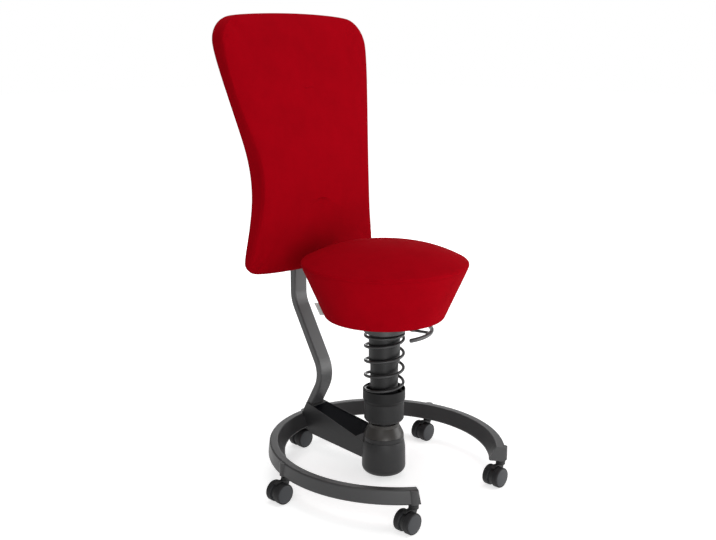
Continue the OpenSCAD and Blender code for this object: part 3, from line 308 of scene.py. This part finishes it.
def settle(piece, pinned, pressure, cap):
    """Lets the cover swell over its filling between the pinned seams, no further than the cap."""
    before = [vertex.co.copy() for vertex in piece.data.vertices]
    group = piece.vertex_groups.new(name="seams")
    for index, weight in pinned.items():
        group.add([index], weight, "REPLACE")
    cloth = piece.modifiers.new("cover", "CLOTH")
    cloth.settings.quality = 6
    cloth.settings.mass = 0.4
    cloth.settings.tension_stiffness = 18
    cloth.settings.compression_stiffness = 18
    cloth.settings.shear_stiffness = 8
    cloth.settings.bending_stiffness = 1.5
    cloth.settings.use_pressure = True
    cloth.settings.uniform_pressure_force = pressure
    cloth.settings.effector_weights.gravity = 0
    cloth.settings.vertex_group_mass = group.name
    cloth.collision_settings.use_collision = False
    cloth.collision_settings.use_self_collision = False
    cloth.point_cache.frame_start = 1
    cloth.point_cache.frame_end = SETTLING
    for frame_number in range(1, SETTLING + 1):
        bpy.context.scene.frame_set(frame_number)
    take(piece)
    bpy.ops.object.modifier_apply(modifier=cloth.name)
    for vertex, rest in zip(piece.data.vertices, before):
        move = vertex.co - rest
        if move.length > cap:
            vertex.co = rest + move * (cap / move.length)
    bpy.context.scene.frame_set(1)
    piece.vertex_groups.clear()


def rounded_line(points, radii, steps):
    """A line through the points with its corners rounded."""
    line = [Vector(points[0])]
    for i in range(1, len(points) - 1):
        before, here, after = (Vector(points[k]) for k in (i - 1, i, i + 1))
        a, b = (before - here).normalized(), (after - here).normalized()
        half = math.acos(max(-1.0, min(1.0, a.dot(b)))) / 2
        centre = here + (a + b).normalized() * radii[i] / math.sin(half)
        back = radii[i] / math.tan(half)
        start, end = here + a * back - centre, here + b * back - centre
        for k in range(steps + 1):
            line.append(centre + start.slerp(end, k / steps).normalized() * radii[i])
    line.append(Vector(points[-1]))
    return line


def rod(name, line, radius, sides, domed=False):
    """A round rod along a line, made as a bevelled curve and turned into a mesh with eased or domed tips."""
    curve = bpy.data.curves.new(name, "CURVE")
    curve.dimensions = "3D"
    curve.bevel_depth = radius
    curve.bevel_resolution = sides
    curve.use_fill_caps = True
    spline = curve.splines.new("POLY")
    first, last = line[0], line[-1]
    start, end = (first - line[1]).normalized(), (last - line[-2]).normalized()
    tip = [(0.0, 0.82), (0.18, 1.0)]
    if domed:
        tip = [(0.0, 0.3), (0.08, 0.55), (0.25, 0.8), (0.45, 0.95), (0.65, 1.0)]
    full = [(first - start * radius * along, thick) for along, thick in tip]
    full += [(place, 1.0) for place in line[1 + domed:-1 - domed]]
    full += [(last - end * radius * along, thick) for along, thick in reversed(tip)]
    spline.points.add(len(full) - 1)
    for point, (place, thick) in zip(spline.points, full):
        point.co = (*place, 1)
        point.radius = thick
    piece = bpy.data.objects.new(name, curve)
    bpy.context.scene.collection.objects.link(piece)
    take(piece)
    bpy.ops.object.convert(target="MESH")
    piece = bpy.context.object
    piece.name = name
    bpy.ops.object.mode_set(mode="EDIT")
    bpy.ops.mesh.select_all(action="SELECT")
    bpy.ops.mesh.remove_doubles(threshold=1e-6)
    bpy.ops.mesh.normals_make_consistent(inside=False)
    bpy.ops.object.mode_set(mode="OBJECT")
    return smooth(piece, 50)


# Finishes


class Finish:
    """A procedural material that is put together node by node."""

    def __init__(self, name, colour, roughness, metallic=0.0):
        self.material = bpy.data.materials.new(name)
        self.material.use_nodes = True
        self.tree = self.material.node_tree
        self.surface = self.tree.nodes["Principled BSDF"]
        self.surface.inputs["Base Color"].default_value = (*colour, 1)
        self.surface.inputs["Roughness"].default_value = roughness
        self.surface.inputs["Metallic"].default_value = metallic
        self.material.diffuse_color = (*colour, 1)
        self.place = self.node("ShaderNodeTexCoord").outputs["Object"]

    def node(self, kind, **settings):
        """A new node of that kind with its settings."""
        made = self.tree.nodes.new(kind)
        for key, value in settings.items():
            setattr(made, key, value)
        return made

    def link(self, source, target):
        self.tree.links.new(source, target)

    def stretched(self, scale):
        """Object coordinates scaled along each axis, for streaks and threads."""
        mapping = self.node("ShaderNodeMapping")
        mapping.inputs["Scale"].default_value = scale
        self.link(self.place, mapping.inputs["Vector"])
        return mapping.outputs["Vector"]

    def noise(self, scale, detail=3.0, rough=0.55, place=None):
        """Cloudy grey pattern with that many clouds to the metre."""
        made = self.node("ShaderNodeTexNoise")
        made.inputs["Scale"].default_value = scale
        made.inputs["Detail"].default_value = detail
        made.inputs["Roughness"].default_value = rough
        self.link(place or self.place, made.inputs["Vector"])
        return made.outputs["Fac"]

    def cells(self, scale):
        """Grey pattern of small cells, with that many cells to the metre."""
        made = self.node("ShaderNodeTexVoronoi", feature="F1")
        made.inputs["Scale"].default_value = scale
        self.link(self.place, made.inputs["Vector"])
        return made.outputs["Distance"]

    def ramp(self, source, stops):
        """Turns a grey pattern into colours that blend from stop to stop."""
        made = self.node("ShaderNodeValToRGB")
        band = made.color_ramp
        while len(band.elements) < len(stops):
            band.elements.new(0.5)
        for element, (position, colour) in zip(band.elements, stops):
            element.position = position
            element.color = (*colour, 1)
        self.link(source, made.inputs["Fac"])
        return made.outputs["Color"]

    def sum(self, *weighted):
        """Weighted sum of grey patterns."""
        total = None
        for source, weight in weighted:
            scaled = self.node("ShaderNodeMath", operation="MULTIPLY")
            self.link(source, scaled.inputs[0])
            scaled.inputs[1].default_value = weight
            if total is None:
                total = scaled.outputs[0]
            else:
                added = self.node("ShaderNodeMath", operation="ADD")
                self.link(total, added.inputs[0])
                self.link(scaled.outputs[0], added.inputs[1])
                total = added.outputs[0]
        return total

    def tint(self, source, stops):
        """Colours the surface by a grey pattern."""
        self.link(self.ramp(source, stops), self.surface.inputs["Base Color"])

    def dullness(self, source, low, high):
        """Roughness that varies between two values."""
        made = self.node("ShaderNodeMapRange")
        made.inputs["To Min"].default_value = low
        made.inputs["To Max"].default_value = high
        self.link(source, made.inputs["Value"])
        self.link(made.outputs["Result"], self.surface.inputs["Roughness"])

    def relief(self, source, depth, strength=1.0):
        """Surface relief of that depth in metres."""
        made = self.node("ShaderNodeBump")
        made.inputs["Distance"].default_value = depth
        made.inputs["Strength"].default_value = strength
        self.link(source, made.inputs["Height"])
        self.link(made.outputs["Normal"], self.surface.inputs["Normal"])


def shade(colour, factor):
    """The colour made darker or lighter by a factor."""
    return tuple(min(1.0, c * factor) for c in colour)


def powder_coat(name, colour, roughness=0.42, shine=0.45):
    """Satin powder coat: fine orange peel and a faint cloudiness."""
    made = Finish(name, colour, roughness)
    clouds = made.noise(9, 2)
    peel = made.noise(900, 2, 0.5)
    mixed = made.sum((clouds, 0.7), (peel, 0.3))
    made.tint(mixed, [(0.3, shade(colour, 0.92)), (0.7, shade(colour, 1.09))])
    made.dullness(made.sum((clouds, 0.5), (peel, 0.5)), roughness - 0.06, roughness + 0.08)
    made.relief(peel, 0.00006, 0.5)
    made.surface.inputs["Specular IOR Level"].default_value = shine
    return made.material


def moulding(name, colour, roughness=0.5, grain=1500, shine=0.4):
    """Moulded plastic with a fine spark-eroded grain."""
    made = Finish(name, colour, roughness)
    grains = made.cells(grain)
    clouds = made.noise(25, 2)
    mixed = made.sum((grains, 0.4), (clouds, 0.6))
    made.tint(mixed, [(0.2, shade(colour, 0.88)), (0.75, shade(colour, 1.12))])
    made.dullness(grains, roughness - 0.08, roughness + 0.1)
    made.relief(grains, 0.00005, 0.6)
    made.surface.inputs["Specular IOR Level"].default_value = shine
    return made.material


def plated_steel(name, colour):
    """Zinc-plated steel with faint drawn lines."""
    made = Finish(name, colour, 0.35, 1.0)
    lines = made.noise(60, 4, 0.6, made.stretched((6, 6, 90)))
    spots = made.noise(140, 3)
    mixed = made.sum((lines, 0.5), (spots, 0.5))
    made.tint(mixed, [(0.3, shade(colour, 0.8)), (0.7, shade(colour, 1.1))])
    made.dullness(made.sum((lines, 0.6), (spots, 0.4)), 0.26, 0.44)
    made.relief(lines, 0.00004, 0.4)
    return made.material


def black_rubber(name, colour, roughness=0.72):
    """Soft black rubber with fine dusty speckles."""
    made = Finish(name, colour, roughness)
    speckles = made.noise(700, 4, 0.7)
    made.tint(speckles, [(0.35, shade(colour, 0.8)), (0.7, shade(colour, 1.3))])
    made.dullness(speckles, roughness - 0.1, roughness + 0.1)
    made.relief(speckles, 0.00008, 0.5)
    made.surface.inputs["Specular IOR Level"].default_value = 0.3
    return made.material


def brushed_microfibre(name, colour):
    """Dense brushed upholstery: nap lying in soft patches over a fine weave, with a faint sheen and painted
    shade darkening the sewn lines.
    """
    made = Finish(name, colour, 0.92)
    patches = made.noise(11, 4, 0.6)
    strokes = made.noise(34, 5, 0.65, made.stretched((1.0, 1.0, 0.45)))
    fibres = made.noise(1300, 3, 0.7)
    weave = made.cells(1100)
    mixed = made.sum((patches, 0.42), (strokes, 0.33), (fibres, 0.25))
    cloth = made.ramp(mixed, [(0.34, shade(colour, 0.88)), (0.5, colour), (0.66, shade(colour, 1.1))])
    # The seam mark darkens the cloth to 0.78 of its colour: painted shade in the sewn lines.
    seam = made.node("ShaderNodeAttribute", attribute_type="GEOMETRY", attribute_name="seam")
    shaded = made.node("ShaderNodeMix", data_type="RGBA")
    made.link(seam.outputs["Fac"], shaded.inputs["Factor"])
    made.link(cloth, shaded.inputs[6])
    shaded.inputs[7].default_value = (*shade(colour, 0.78), 1)
    made.link(shaded.outputs[2], made.surface.inputs["Base Color"])
    made.dullness(fibres, 0.84, 1.0)
    made.relief(made.sum((fibres, 0.5), (weave, 0.35), (strokes, 0.9)), 0.00022, 0.55)
    made.surface.inputs["Specular IOR Level"].default_value = 0.02
    made.surface.inputs["Sheen Weight"].default_value = 0.015
    made.surface.inputs["Sheen Roughness"].default_value = 0.45
    made.surface.inputs["Sheen Tint"].default_value = (1.0, 0.06, 0.10, 1)
    return made.material


def woven_tape(name, colour):
    """Narrow woven tape with its threads across and along."""
    made = Finish(name, colour, 0.8)
    warp = made.node("ShaderNodeTexWave", wave_type="BANDS", bands_direction="Z")
    warp.inputs["Scale"].default_value = 420
    made.link(made.place, warp.inputs["Vector"])
    weft = made.node("ShaderNodeTexWave", wave_type="BANDS", bands_direction="X")
    weft.inputs["Scale"].default_value = 500
    made.link(made.place, weft.inputs["Vector"])
    threads = made.sum((warp.outputs["Fac"], 0.5), (weft.outputs["Fac"], 0.3), (made.noise(300), 0.2))
    made.tint(threads, [(0.2, shade(colour, 0.72)), (0.8, shade(colour, 1.12))])
    made.relief(threads, 0.00012, 0.6)
    return made.material


# Finishes by material slot, with the treads' and the lever's own
FINISHES = {}


class STOOL_OT_finishes(bpy.types.Operator):
    """Mix the finishes and give each construction part its own"""

    bl_idname = "stool.finishes"
    bl_label = "Finishes"

    def execute(self, context):
        c = context.scene.stool_finish
        FINISHES.update({
            "coated_metal": powder_coat("anthracite powder coat", c.coat, 0.42),
            "cast_alloy": powder_coat("coated casting", shade(c.coat, 0.8), 0.46, 0.3),
            "spring_steel": powder_coat("coated spring steel", shade(c.coat, 0.72), 0.34),
            "dark_cover": moulding("matt black cover", c.cover, 0.6, 1700, shine=0.03),
            "black_plastic": moulding("grained black moulding", c.plastic, 0.46),
            "bright_steel": plated_steel("plated steel", c.steel),
            "black_metal": powder_coat("black lacquer", (0.015, 0.015, 0.016), 0.28),
            "rubber": black_rubber("black rubber", (0.016, 0.016, 0.016)),
            "red_fabric": brushed_microfibre("red brushed upholstery", c.fabric),
            "tag_cloth": woven_tape("grey woven tape", c.tape),
            "caster_plastic": moulding("caster moulding", shade(c.plastic, 1.1), 0.5),
            "wheel_plastic": moulding("wheel disc", (0.027, 0.029, 0.033), 0.4, 1900),
        })
        FINISHES["tyre"] = black_rubber("wheel tread", (0.012, 0.012, 0.013), 0.6)
        FINISHES["lever"] = powder_coat("lever coat", shade(c.coat, 1.6), 0.36)
        column = moulding("column moulding", shade(c.plastic, 0.62), 0.42, shine=0.3)
        own = {
            "dome_collar": moulding("warm black collar", (0.034, 0.031, 0.028), 0.36),
            "spring_cup": moulding("cup moulding", shade(c.plastic, 0.5), 0.5, shine=0.22),
            "adjusting_sleeve": moulding("sleeve moulding", shade(c.plastic, 0.85), 0.44, shine=0.3),
            "lower_sleeve": column,
            "upper_sleeve": column,
            "foot_ring": FINISHES["coated_metal"],
            # The bar has the frame's coat painted a quarter lighter: painted highlight.
            "backrest_bar": powder_coat("bar coat lightened as painted highlight", shade(c.coat, 1.25), 0.4, 0.55),
        }
        slots = {row["node"]: row["material_slot"] for row in frame["record"]["subparts"]}
        for name, part in frame["nodes"].items():
            part.data.materials.clear()
            part.data.materials.append(own.get(name) or FINISHES[slots[name]])
        return {"FINISHED"}


# Seat


def seat_profile(s):
    """The seat's section from the crown round the foam to the middle of the hollow under it."""
    rim, base = Vector((s.rim_radius, 0, s.rim_height)), Vector((s.base_radius, 0, s.base_height))
    dome, rings = [], 18
    for i in range(1, rings + 1):
        r = s.rim_radius * 0.965 * math.sin(math.pi / 2 * i / rings)
        dome.append(Vector((r, 0, s.rim_height + s.crown * (1 - (r / s.rim_radius) ** s.crown_power))))
    inner = Vector((s.opening_radius, 0, s.base_height))
    top_edge = rounded_line([dome[-1], rim, base], [0, s.edge_radius, 0], 6)[1:-1]
    low_edge = rounded_line([rim, base, inner], [0, s.base_edge_radius, 0], 6)[1:-1]
    steps = (0.012, 0.026, 0.042, 0.06, 0.08, *(0.1 + 0.05 * i for i in range(17)), 0.94, 0.97)
    side = [top_edge[-1].lerp(low_edge[0], step) for step in steps]
    floor = [low_edge[-1].lerp(inner, i / 3) for i in range(1, 4)]
    lean = (rim - base).normalized()
    lip, ceiling = 0.0132, 0.5545
    wall_low = Vector((0.1395, 0, 0.4417))
    wall_high = wall_low + lean * ((ceiling - wall_low.z) / lean.z)
    inside = [inner + Vector((0, 0, lip)), wall_low, wall_high]
    return [Vector((0, 0, s.rim_height + s.crown)), *dome, *top_edge, *side, *low_edge, *floor, *inside,
            Vector((0, 0, wall_high.z))]


class STOOL_OT_seat(bpy.types.Operator):
    """Upholster the round seat: a taut domed top sewn to conical sides"""

    bl_idname = "stool.seat"
    bl_label = "Seat"

    def execute(self, context):
        s = context.scene.stool_seat
        profile = seat_profile(s)
        piece = new_piece("seat_upholstery", profile, [(i, i + 1) for i in range(len(profile) - 1)])
        bpy.ops.object.mode_set(mode="EDIT")
        bpy.ops.mesh.select_all(action="SELECT")
        bpy.ops.mesh.spin(steps=144, angle=math.tau, center=(0, 0, 0), axis=(0, 0, 1))
        bpy.ops.mesh.select_all(action="SELECT")
        bpy.ops.mesh.remove_doubles(threshold=2e-5)
        bpy.ops.mesh.normals_make_consistent(inside=False)
        bpy.ops.object.mode_set(mode="OBJECT")
        self.ease_sides(piece, s)
        pinned = {}
        for vertex in piece.data.vertices:
            z, r = vertex.co.z, math.hypot(vertex.co.x, vertex.co.y)
            at_rim = abs(z - s.rim_height) < 0.004 and r > 0.2
            under = z < s.base_height + 0.006 or r < s.base_radius - 0.006 and z < 0.556
            if at_rim or under:
                pinned[vertex.index] = 1.0
        settle(piece, pinned, 1.6, 0.0015)
        subdivide_once(piece)
        # The sewn line under the rim is pressed in and darkened in colour as painted shade.
        line = s.rim_height - s.edge_radius * 0.9

        def beside(vertex):
            r = math.hypot(vertex.co.x, vertex.co.y)
            return 0.4 * math.exp(-((vertex.co.z - line) / 0.0022) ** 2) if r > 0.19 else 0.0

        sew(piece, beside, s.seam_depth)
        smooth(piece, 60)
        dress(piece, FINISHES["red_fabric"], "red_fabric", "seat", "seat_cushion")
        return {"FINISHED"}

    def ease_sides(self, piece, s):
        """Lets the conical sides wander by about a millimetre, as fabric does over foam."""
        margin = 0.012
        for vertex in piece.data.vertices:
            z, r = vertex.co.z, math.hypot(vertex.co.x, vertex.co.y)
            if z < s.rim_height - margin and z > s.base_height + margin and r > 0.145:
                t = (z - s.base_height) / (s.rim_height - s.base_height)
                turn = math.atan2(vertex.co.y, vertex.co.x)
                fold = noise.noise(Vector((math.cos(turn) * 5.5, math.sin(turn) * 5.5, z * 2.2)))
                drop = 0.0012 * fold * math.sin(math.pi * min(1, max(0, t))) ** 0.7
                vertex.co.x += vertex.co.x / r * drop
                vertex.co.y += vertex.co.y / r * drop


class STOOL_OT_tag(bpy.types.Operator):
    """Sew a bare folded tape into the seat's side seam"""

    bl_idname = "stool.tag"
    bl_label = "Tape on the seat"

    def execute(self, context):
        s = context.scene.stool_seat
        low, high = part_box("seat_tag")
        lean = (s.rim_radius - s.base_radius) / (s.rim_height - s.base_height)
        half, out = 0.00045, 0.0113
        section = [Vector((0, half)), Vector((out * 0.5, half * 1.3)), Vector((out * 0.86, half * 1.5))]
        section += [Vector((out, half * 0.9)), Vector((out + 0.0003, 0)), Vector((out, -half * 0.9))]
        section += [Vector((out * 0.86, -half * 1.5)), Vector((out * 0.5, -half * 1.3)), Vector((0, -half))]
        rows = 9
        points = []
        for i in range(rows):
            z = low.z + 0.0003 + (high.z - low.z - 0.0006) * i / (rows - 1)
            foot = s.base_radius + (z - s.base_height) * lean + 0.0007
            for p in section:
                wave = 0.0002 * math.sin(z * 260)
                points.append(Vector((foot + p.x, p.y + wave * p.x / out, z)))
        n = len(section)
        faces = [(i * n + k, i * n + k + 1, (i + 1) * n + k + 1, (i + 1) * n + k)
                 for i in range(rows - 1) for k in range(n - 1)]
        turn = Matrix.Rotation(math.radians(TAPE_TURN), 4, "Z")
        piece = new_piece("seat_tape", [turn @ p for p in points], (), faces)
        thick = piece.modifiers.new("tape", "SOLIDIFY")
        thick.thickness, thick.offset = 0.00028, 0
        subdivide_once(piece)
        smooth(piece, 60)
        dress(piece, FINISHES["tag_cloth"], "tag_cloth", "seat", "seat_tag")
        return {"FINISHED"}


# Backrest


class STOOL_OT_backrest(bpy.types.Operator):
    """Upholster the tall waisted backrest, front and rear"""

    bl_idname = "stool.backrest"
    bl_label = "Backrest"

    def execute(self, context):
        s = context.scene.stool_backrest
        front = self.foam("backrest_cushion", "backrest_upholstery", s.stretch)
        pinned = {vertex.index: 1.0 for vertex in front.data.vertices if vertex.normal.y > -0.55}
        settle(front, pinned, 0.8, s.swell)
        subdivide_once(front)
        # The sewn line round the front is pressed in and darkened in colour as painted shade, strongest
        # where the front turns to the sides.
        sew(front, lambda vertex: 0.55 * math.exp(-((vertex.normal.y + 0.6) / 0.32) ** 2), s.seam_depth)
        smooth(front, 50)
        dress(front, FINISHES["red_fabric"], "red_fabric", "backrest", "backrest_cushion")
        rear = self.foam("backrest_board", "backrest_rear_cover", s.stretch)
        subdivide_once(rear)
        smooth(rear, 50)
        dress(rear, FINISHES["red_fabric"], "red_fabric", "backrest", "backrest_board")
        return {"FINISHED"}

    def foam(self, node, name, stretch):
        """Takes the construction's shape, rounds it between its points and keeps the hidden edges crisp."""
        piece = merged_copy(node, name)
        piece.data.transform(Matrix.Diagonal((stretch, 1, 1, 1)))
        mesh = piece.data
        crease = mesh.attributes.new("crease_edge", "FLOAT", "EDGE")
        faces_of = {}
        for face in mesh.polygons:
            for key in face.edge_keys:
                faces_of.setdefault(key, []).append(face.normal)
        for edge in mesh.edges:
            sides = faces_of.get(tuple(sorted(edge.vertices)), [])
            if len(sides) == 2 and sides[0].angle(sides[1], 0) > math.radians(55):
                crease.data[edge.index].value = 1.0
        return subdivide_once(piece)


# Spring and lever


def wire_height(w, turn):
    """Height of the wire's middle after a number of turns: closed ends with an even climb between."""
    end_pitch, end_turn, blend = w.wire + 0.0006, 0.85, 0.3

    def climbed(start):
        if turn < start:
            return 0.0
        if turn < start + blend:
            return (turn - start) ** 2 / (2 * blend)
        return turn - start - blend / 2

    pitch = end_pitch + (w.high - w.low - end_pitch * w.turns) / (w.turns - 2 * end_turn - blend)
    open_turns = climbed(end_turn) - climbed(w.turns - end_turn - blend)
    return w.low + end_pitch * turn + (pitch - end_pitch) * open_turns


class STOOL_OT_spring(bpy.types.Operator):
    """Wind the coil spring as one smooth wire"""

    bl_idname = "stool.spring"
    bl_label = "Coil spring"

    def execute(self, context):
        w = context.scene.stool_wire
        radius = (w.coil - w.wire) / 2
        count = round(w.turns * 40)
        line = []
        for i in range(count + 1):
            turn = w.turns * i / count
            angle = w.start + math.tau * turn
            line.append(Vector((radius * math.cos(angle), radius * math.sin(angle), wire_height(w, turn))))
        piece = rod("spring_wire", line, w.wire / 2 - 0.00005, 5)
        dress(piece, FINISHES["spring_steel"], "spring_steel", "carriage", "coil_spring")
        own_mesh(piece)
        return {"FINISHED"}


class STOOL_OT_lever(bpy.types.Operator):
    """Bend the height lever's leg, with the curved handle at its end and the boss on its pivot"""

    bl_idname = "stool.lever"
    bl_label = "Height lever"

    def execute(self, context):
        w = context.scene.stool_wire
        valve_z, leg_z, handle_z = 0.4838, 0.387, 0.3915
        pivot = (0, 0.034, 0.470)
        drop = rounded_line(
            [(0, -0.0035, valve_z), (0, 0.013, valve_z), pivot, (0, 0.0605, 0.432), (0, 0.0605, leg_z),
             (0, 0.0765, leg_z), self.on_arc(w.reach - 0.0005, 79, leg_z)],
            [0, 0.007, 0.007, 0.010, 0.010, 0.012], 6)
        start, sweep, parts = 29.2, 82.6, 40
        handle = [self.on_arc(w.reach, start + sweep * i / parts, handle_z) for i in range(parts + 1)]
        turn = Matrix.Rotation(math.radians(LEVER_TURN), 4, "Z")
        leg = rod("lever_leg", [turn @ p for p in drop], w.lever / 2 - 0.00002, 6)
        dress(leg, FINISHES["lever"], "coated_metal", "lever", "height_lever")
        grip = rod("lever_handle", [turn @ p for p in handle], w.handle / 2 - 0.00002, 7, True)
        dress(grip, FINISHES["lever"], "coated_metal", "lever")
        bpy.ops.mesh.primitive_cylinder_add(
            vertices=48, radius=0.007, depth=0.014, location=pivot, rotation=(0, math.pi / 2, 0))
        boss = bpy.context.object
        boss.name = boss.data.name = "lever_boss"
        bpy.ops.object.transform_apply(location=True, rotation=True, scale=True)
        boss.data.transform(turn)
        edges = boss.modifiers.new("edges", "BEVEL")
        edges.width, edges.segments, edges.limit_method = 0.0007, 2, "ANGLE"
        apply_all(boss)
        smooth(boss, 40)
        dress(boss, FINISHES["lever"], "coated_metal", "lever")
        return {"FINISHED"}

    def on_arc(self, radius, degrees, height):
        """A point on a level circle about the column's axis."""
        angle = math.radians(degrees)
        return Vector((radius * math.cos(angle), radius * math.sin(angle), height))


# Casters


class STOOL_OT_casters(bpy.types.Operator):
    """Give the twin wheels their soft treads and lighter discs"""

    bl_idname = "stool.casters"
    bl_label = "Casters"

    def execute(self, context):
        for caster in CASTERS:
            for side in ("a", "b"):
                node = f"{caster}_wheel_{side}"
                low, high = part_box(node)
                axle = (low + high) / 2
                mesh = frame["nodes"][node].data
                mesh.materials.append(FINISHES["tyre"])
                for face in mesh.polygons:
                    middle = face.center - axle
                    if math.hypot(middle.x, middle.z) > (high.z - low.z) / 2 - TREAD:
                        face.material_index = 1
        return {"FINISHED"}


# Stage


# Soft lamps by name, place, aim, diameter in metres and share of the fill light
FILL_LAMPS = (
    ("front", (-0.9, -2.6, 0.95), (0, 0.1, 0.4), 1.6, 0.7),
    ("left", (-2.2, -0.8, 2.0), (0, 0.15, 0.7), 1.2, 1.3),
    ("low", (-1.3, -1.65, 0.18), (0, 0.05, 0.35), 1.2, 2.9),
    ("low right", (1.3, -1.7, 0.15), (0.05, 0.0, 0.45), 1.0, 0.9),
    ("top", (0.3, 0.3, 2.9), (0, 0.0, 0.3), 2.2, 4.0),
    ("rear", (2.5, 2.3, 0.75), (0.1, 0.0, 0.15), 2.0, 2.6),
)


def light(name, place, aim, size, power):
    """A round soft lamp that looks at its aim."""
    lamp = bpy.data.lights.new(name, "AREA")
    lamp.shape, lamp.size, lamp.energy = "DISK", size, power
    holder = bpy.data.objects.new(name, lamp)
    holder.location = place
    holder.rotation_mode = "QUATERNION"
    holder.rotation_quaternion = (Vector(aim) - Vector(place)).to_track_quat("-Z", "Y")
    bpy.context.scene.collection.objects.link(holder)


class STOOL_OT_stage(bpy.types.Operator):
    """Set the pale floor, the soft light and the camera"""

    bl_idname = "stool.stage"
    bl_label = "Stage"

    def execute(self, context):
        s = context.scene.stool_stage
        deselect()
        bpy.ops.mesh.primitive_plane_add(size=40, location=(0, 0, 0))
        floor = bpy.context.object
        floor.name = "studio_floor"
        floor.data.materials.append(self.paper())
        self.air(context.scene, s.air)
        light("key", (2.3, -1.8, 0.9), (0, 0.05, 0.4), 2.1, s.key)
        for name, place, aim, size, share in FILL_LAMPS:
            light(name, place, aim, size, s.fill * share)
        camera = bpy.data.objects.new("camera", bpy.data.cameras.new("camera"))
        context.scene.collection.objects.link(camera)
        camera.location = s.camera_place
        camera.rotation_mode = "QUATERNION"
        camera.rotation_quaternion = (Vector(s.camera_aim) - Vector(s.camera_place)).to_track_quat("-Z", "Y")
        camera.data.sensor_width = 36
        camera.data.lens = s.lens
        camera.data.clip_start, camera.data.clip_end = 0.05, 100
        context.scene.camera = camera
        context.scene.view_settings.view_transform = "Standard"
        return {"FINISHED"}

    def paper(self):
        """White paper that keeps a faint shadow and shows white to the camera and in reflections."""
        material = bpy.data.materials.new("white paper")
        material.use_nodes = True
        tree = material.node_tree
        nodes, links = tree.nodes, tree.links
        paper = nodes["Principled BSDF"]
        paper.inputs["Base Color"].default_value = (0.8, 0.8, 0.8, 1)
        paper.inputs["Roughness"].default_value = 0.9
        paper.inputs["Specular IOR Level"].default_value = 0.1
        glow = nodes.new("ShaderNodeEmission")
        spot = nodes.new("ShaderNodeTexCoord")
        reach = nodes.new("ShaderNodeVectorMath")
        reach.operation = "LENGTH"
        links.new(spot.outputs["Object"], reach.inputs[0])
        rise = nodes.new("ShaderNodeMapRange")
        for key, value in (("From Min", 0.5), ("From Max", 2.6), ("To Min", 0.6), ("To Max", 0.9)):
            rise.inputs[key].default_value = value
        links.new(reach.outputs["Value"], rise.inputs["Value"])
        links.new(rise.outputs["Result"], glow.inputs["Strength"])
        both = nodes.new("ShaderNodeAddShader")
        links.new(paper.outputs[0], both.inputs[0])
        links.new(glow.outputs[0], both.inputs[1])
        seen = self.seen(nodes, links)
        mixed = nodes.new("ShaderNodeMixShader")
        links.new(seen, mixed.inputs[0])
        links.new(paper.outputs[0], mixed.inputs[1])
        links.new(both.outputs[0], mixed.inputs[2])
        links.new(mixed.outputs[0], nodes["Material Output"].inputs["Surface"])
        return material

    def seen(self, nodes, links):
        """1 for rays of the camera, of reflections and through clear things."""
        path = nodes.new("ShaderNodeLightPath")
        first = nodes.new("ShaderNodeMath")
        first.operation = "MAXIMUM"
        links.new(path.outputs["Is Camera Ray"], first.inputs[0])
        links.new(path.outputs["Is Glossy Ray"], first.inputs[1])
        second = nodes.new("ShaderNodeMath")
        second.operation = "MAXIMUM"
        links.new(first.outputs[0], second.inputs[0])
        links.new(path.outputs["Is Transmission Ray"], second.inputs[1])
        return second.outputs[0]

    def air(self, scene, strength):
        """Even light all round, with a white background for the camera."""
        world = bpy.data.worlds.new("studio air")
        world.use_nodes = True
        scene.world = world
        nodes, links = world.node_tree.nodes, world.node_tree.links
        soft = nodes["Background"]
        soft.inputs["Color"].default_value = (1, 1, 1, 1)
        soft.inputs["Strength"].default_value = strength
        white = nodes.new("ShaderNodeBackground")
        white.inputs["Color"].default_value = (1, 1, 1, 1)
        white.inputs["Strength"].default_value = 1.0
        path = nodes.new("ShaderNodeLightPath")
        mixed = nodes.new("ShaderNodeMixShader")
        links.new(path.outputs["Is Camera Ray"], mixed.inputs[0])
        links.new(soft.outputs[0], mixed.inputs[1])
        links.new(white.outputs[0], mixed.inputs[2])
        links.new(mixed.outputs[0], nodes["World Output"].inputs["Surface"])


class STOOL_PT_workshop(bpy.types.Panel):
    """Lists the steps of the stool in the 3D view's sidebar"""

    bl_idname = "STOOL_PT_workshop"
    bl_label = "Balance Stool"
    bl_space_type = "VIEW_3D"
    bl_region_type = "UI"
    bl_category = "Stool"

    def draw(self, context):
        for group in ("stool_finish", "stool_seat", "stool_backrest", "stool_wire", "stool_stage"):
            box = self.layout.box()
            settings = getattr(context.scene, group)
            for key in settings.__annotations__:
                box.prop(settings, key)
        for step in STEPS:
            self.layout.operator(step.bl_idname)


STEPS = (STOOL_OT_finishes, STOOL_OT_seat, STOOL_OT_tag, STOOL_OT_backrest, STOOL_OT_spring, STOOL_OT_lever,
         STOOL_OT_casters, STOOL_OT_stage)
GROUPS = {"stool_seat": STOOL_PG_seat, "stool_backrest": STOOL_PG_backrest, "stool_wire": STOOL_PG_wire,
          "stool_finish": STOOL_PG_finish, "stool_stage": STOOL_PG_stage}


def register():
    """Registers every class and gives the scene its settings."""
    for made in (*GROUPS.values(), *STEPS, STOOL_PT_workshop):
        bpy.utils.register_class(made)
    for name, group in GROUPS.items():
        setattr(bpy.types.Scene, name, bpy.props.PointerProperty(type=group))


def unregister():
    """Takes the settings and the classes out again."""
    for name in GROUPS:
        delattr(bpy.types.Scene, name)
    for made in (STOOL_PT_workshop, *reversed(STEPS), *reversed(GROUPS.values())):
        bpy.utils.unregister_class(made)


def main():
    """Makes every piece and the stage."""
    register()
    bpy.ops.stool.finishes()
    bpy.ops.stool.seat()
    bpy.ops.stool.tag()
    bpy.ops.stool.backrest()
    bpy.ops.stool.spring()
    bpy.ops.stool.lever()
    bpy.ops.stool.casters()
    bpy.ops.stool.stage()


if __name__ == "__main__":
    main()
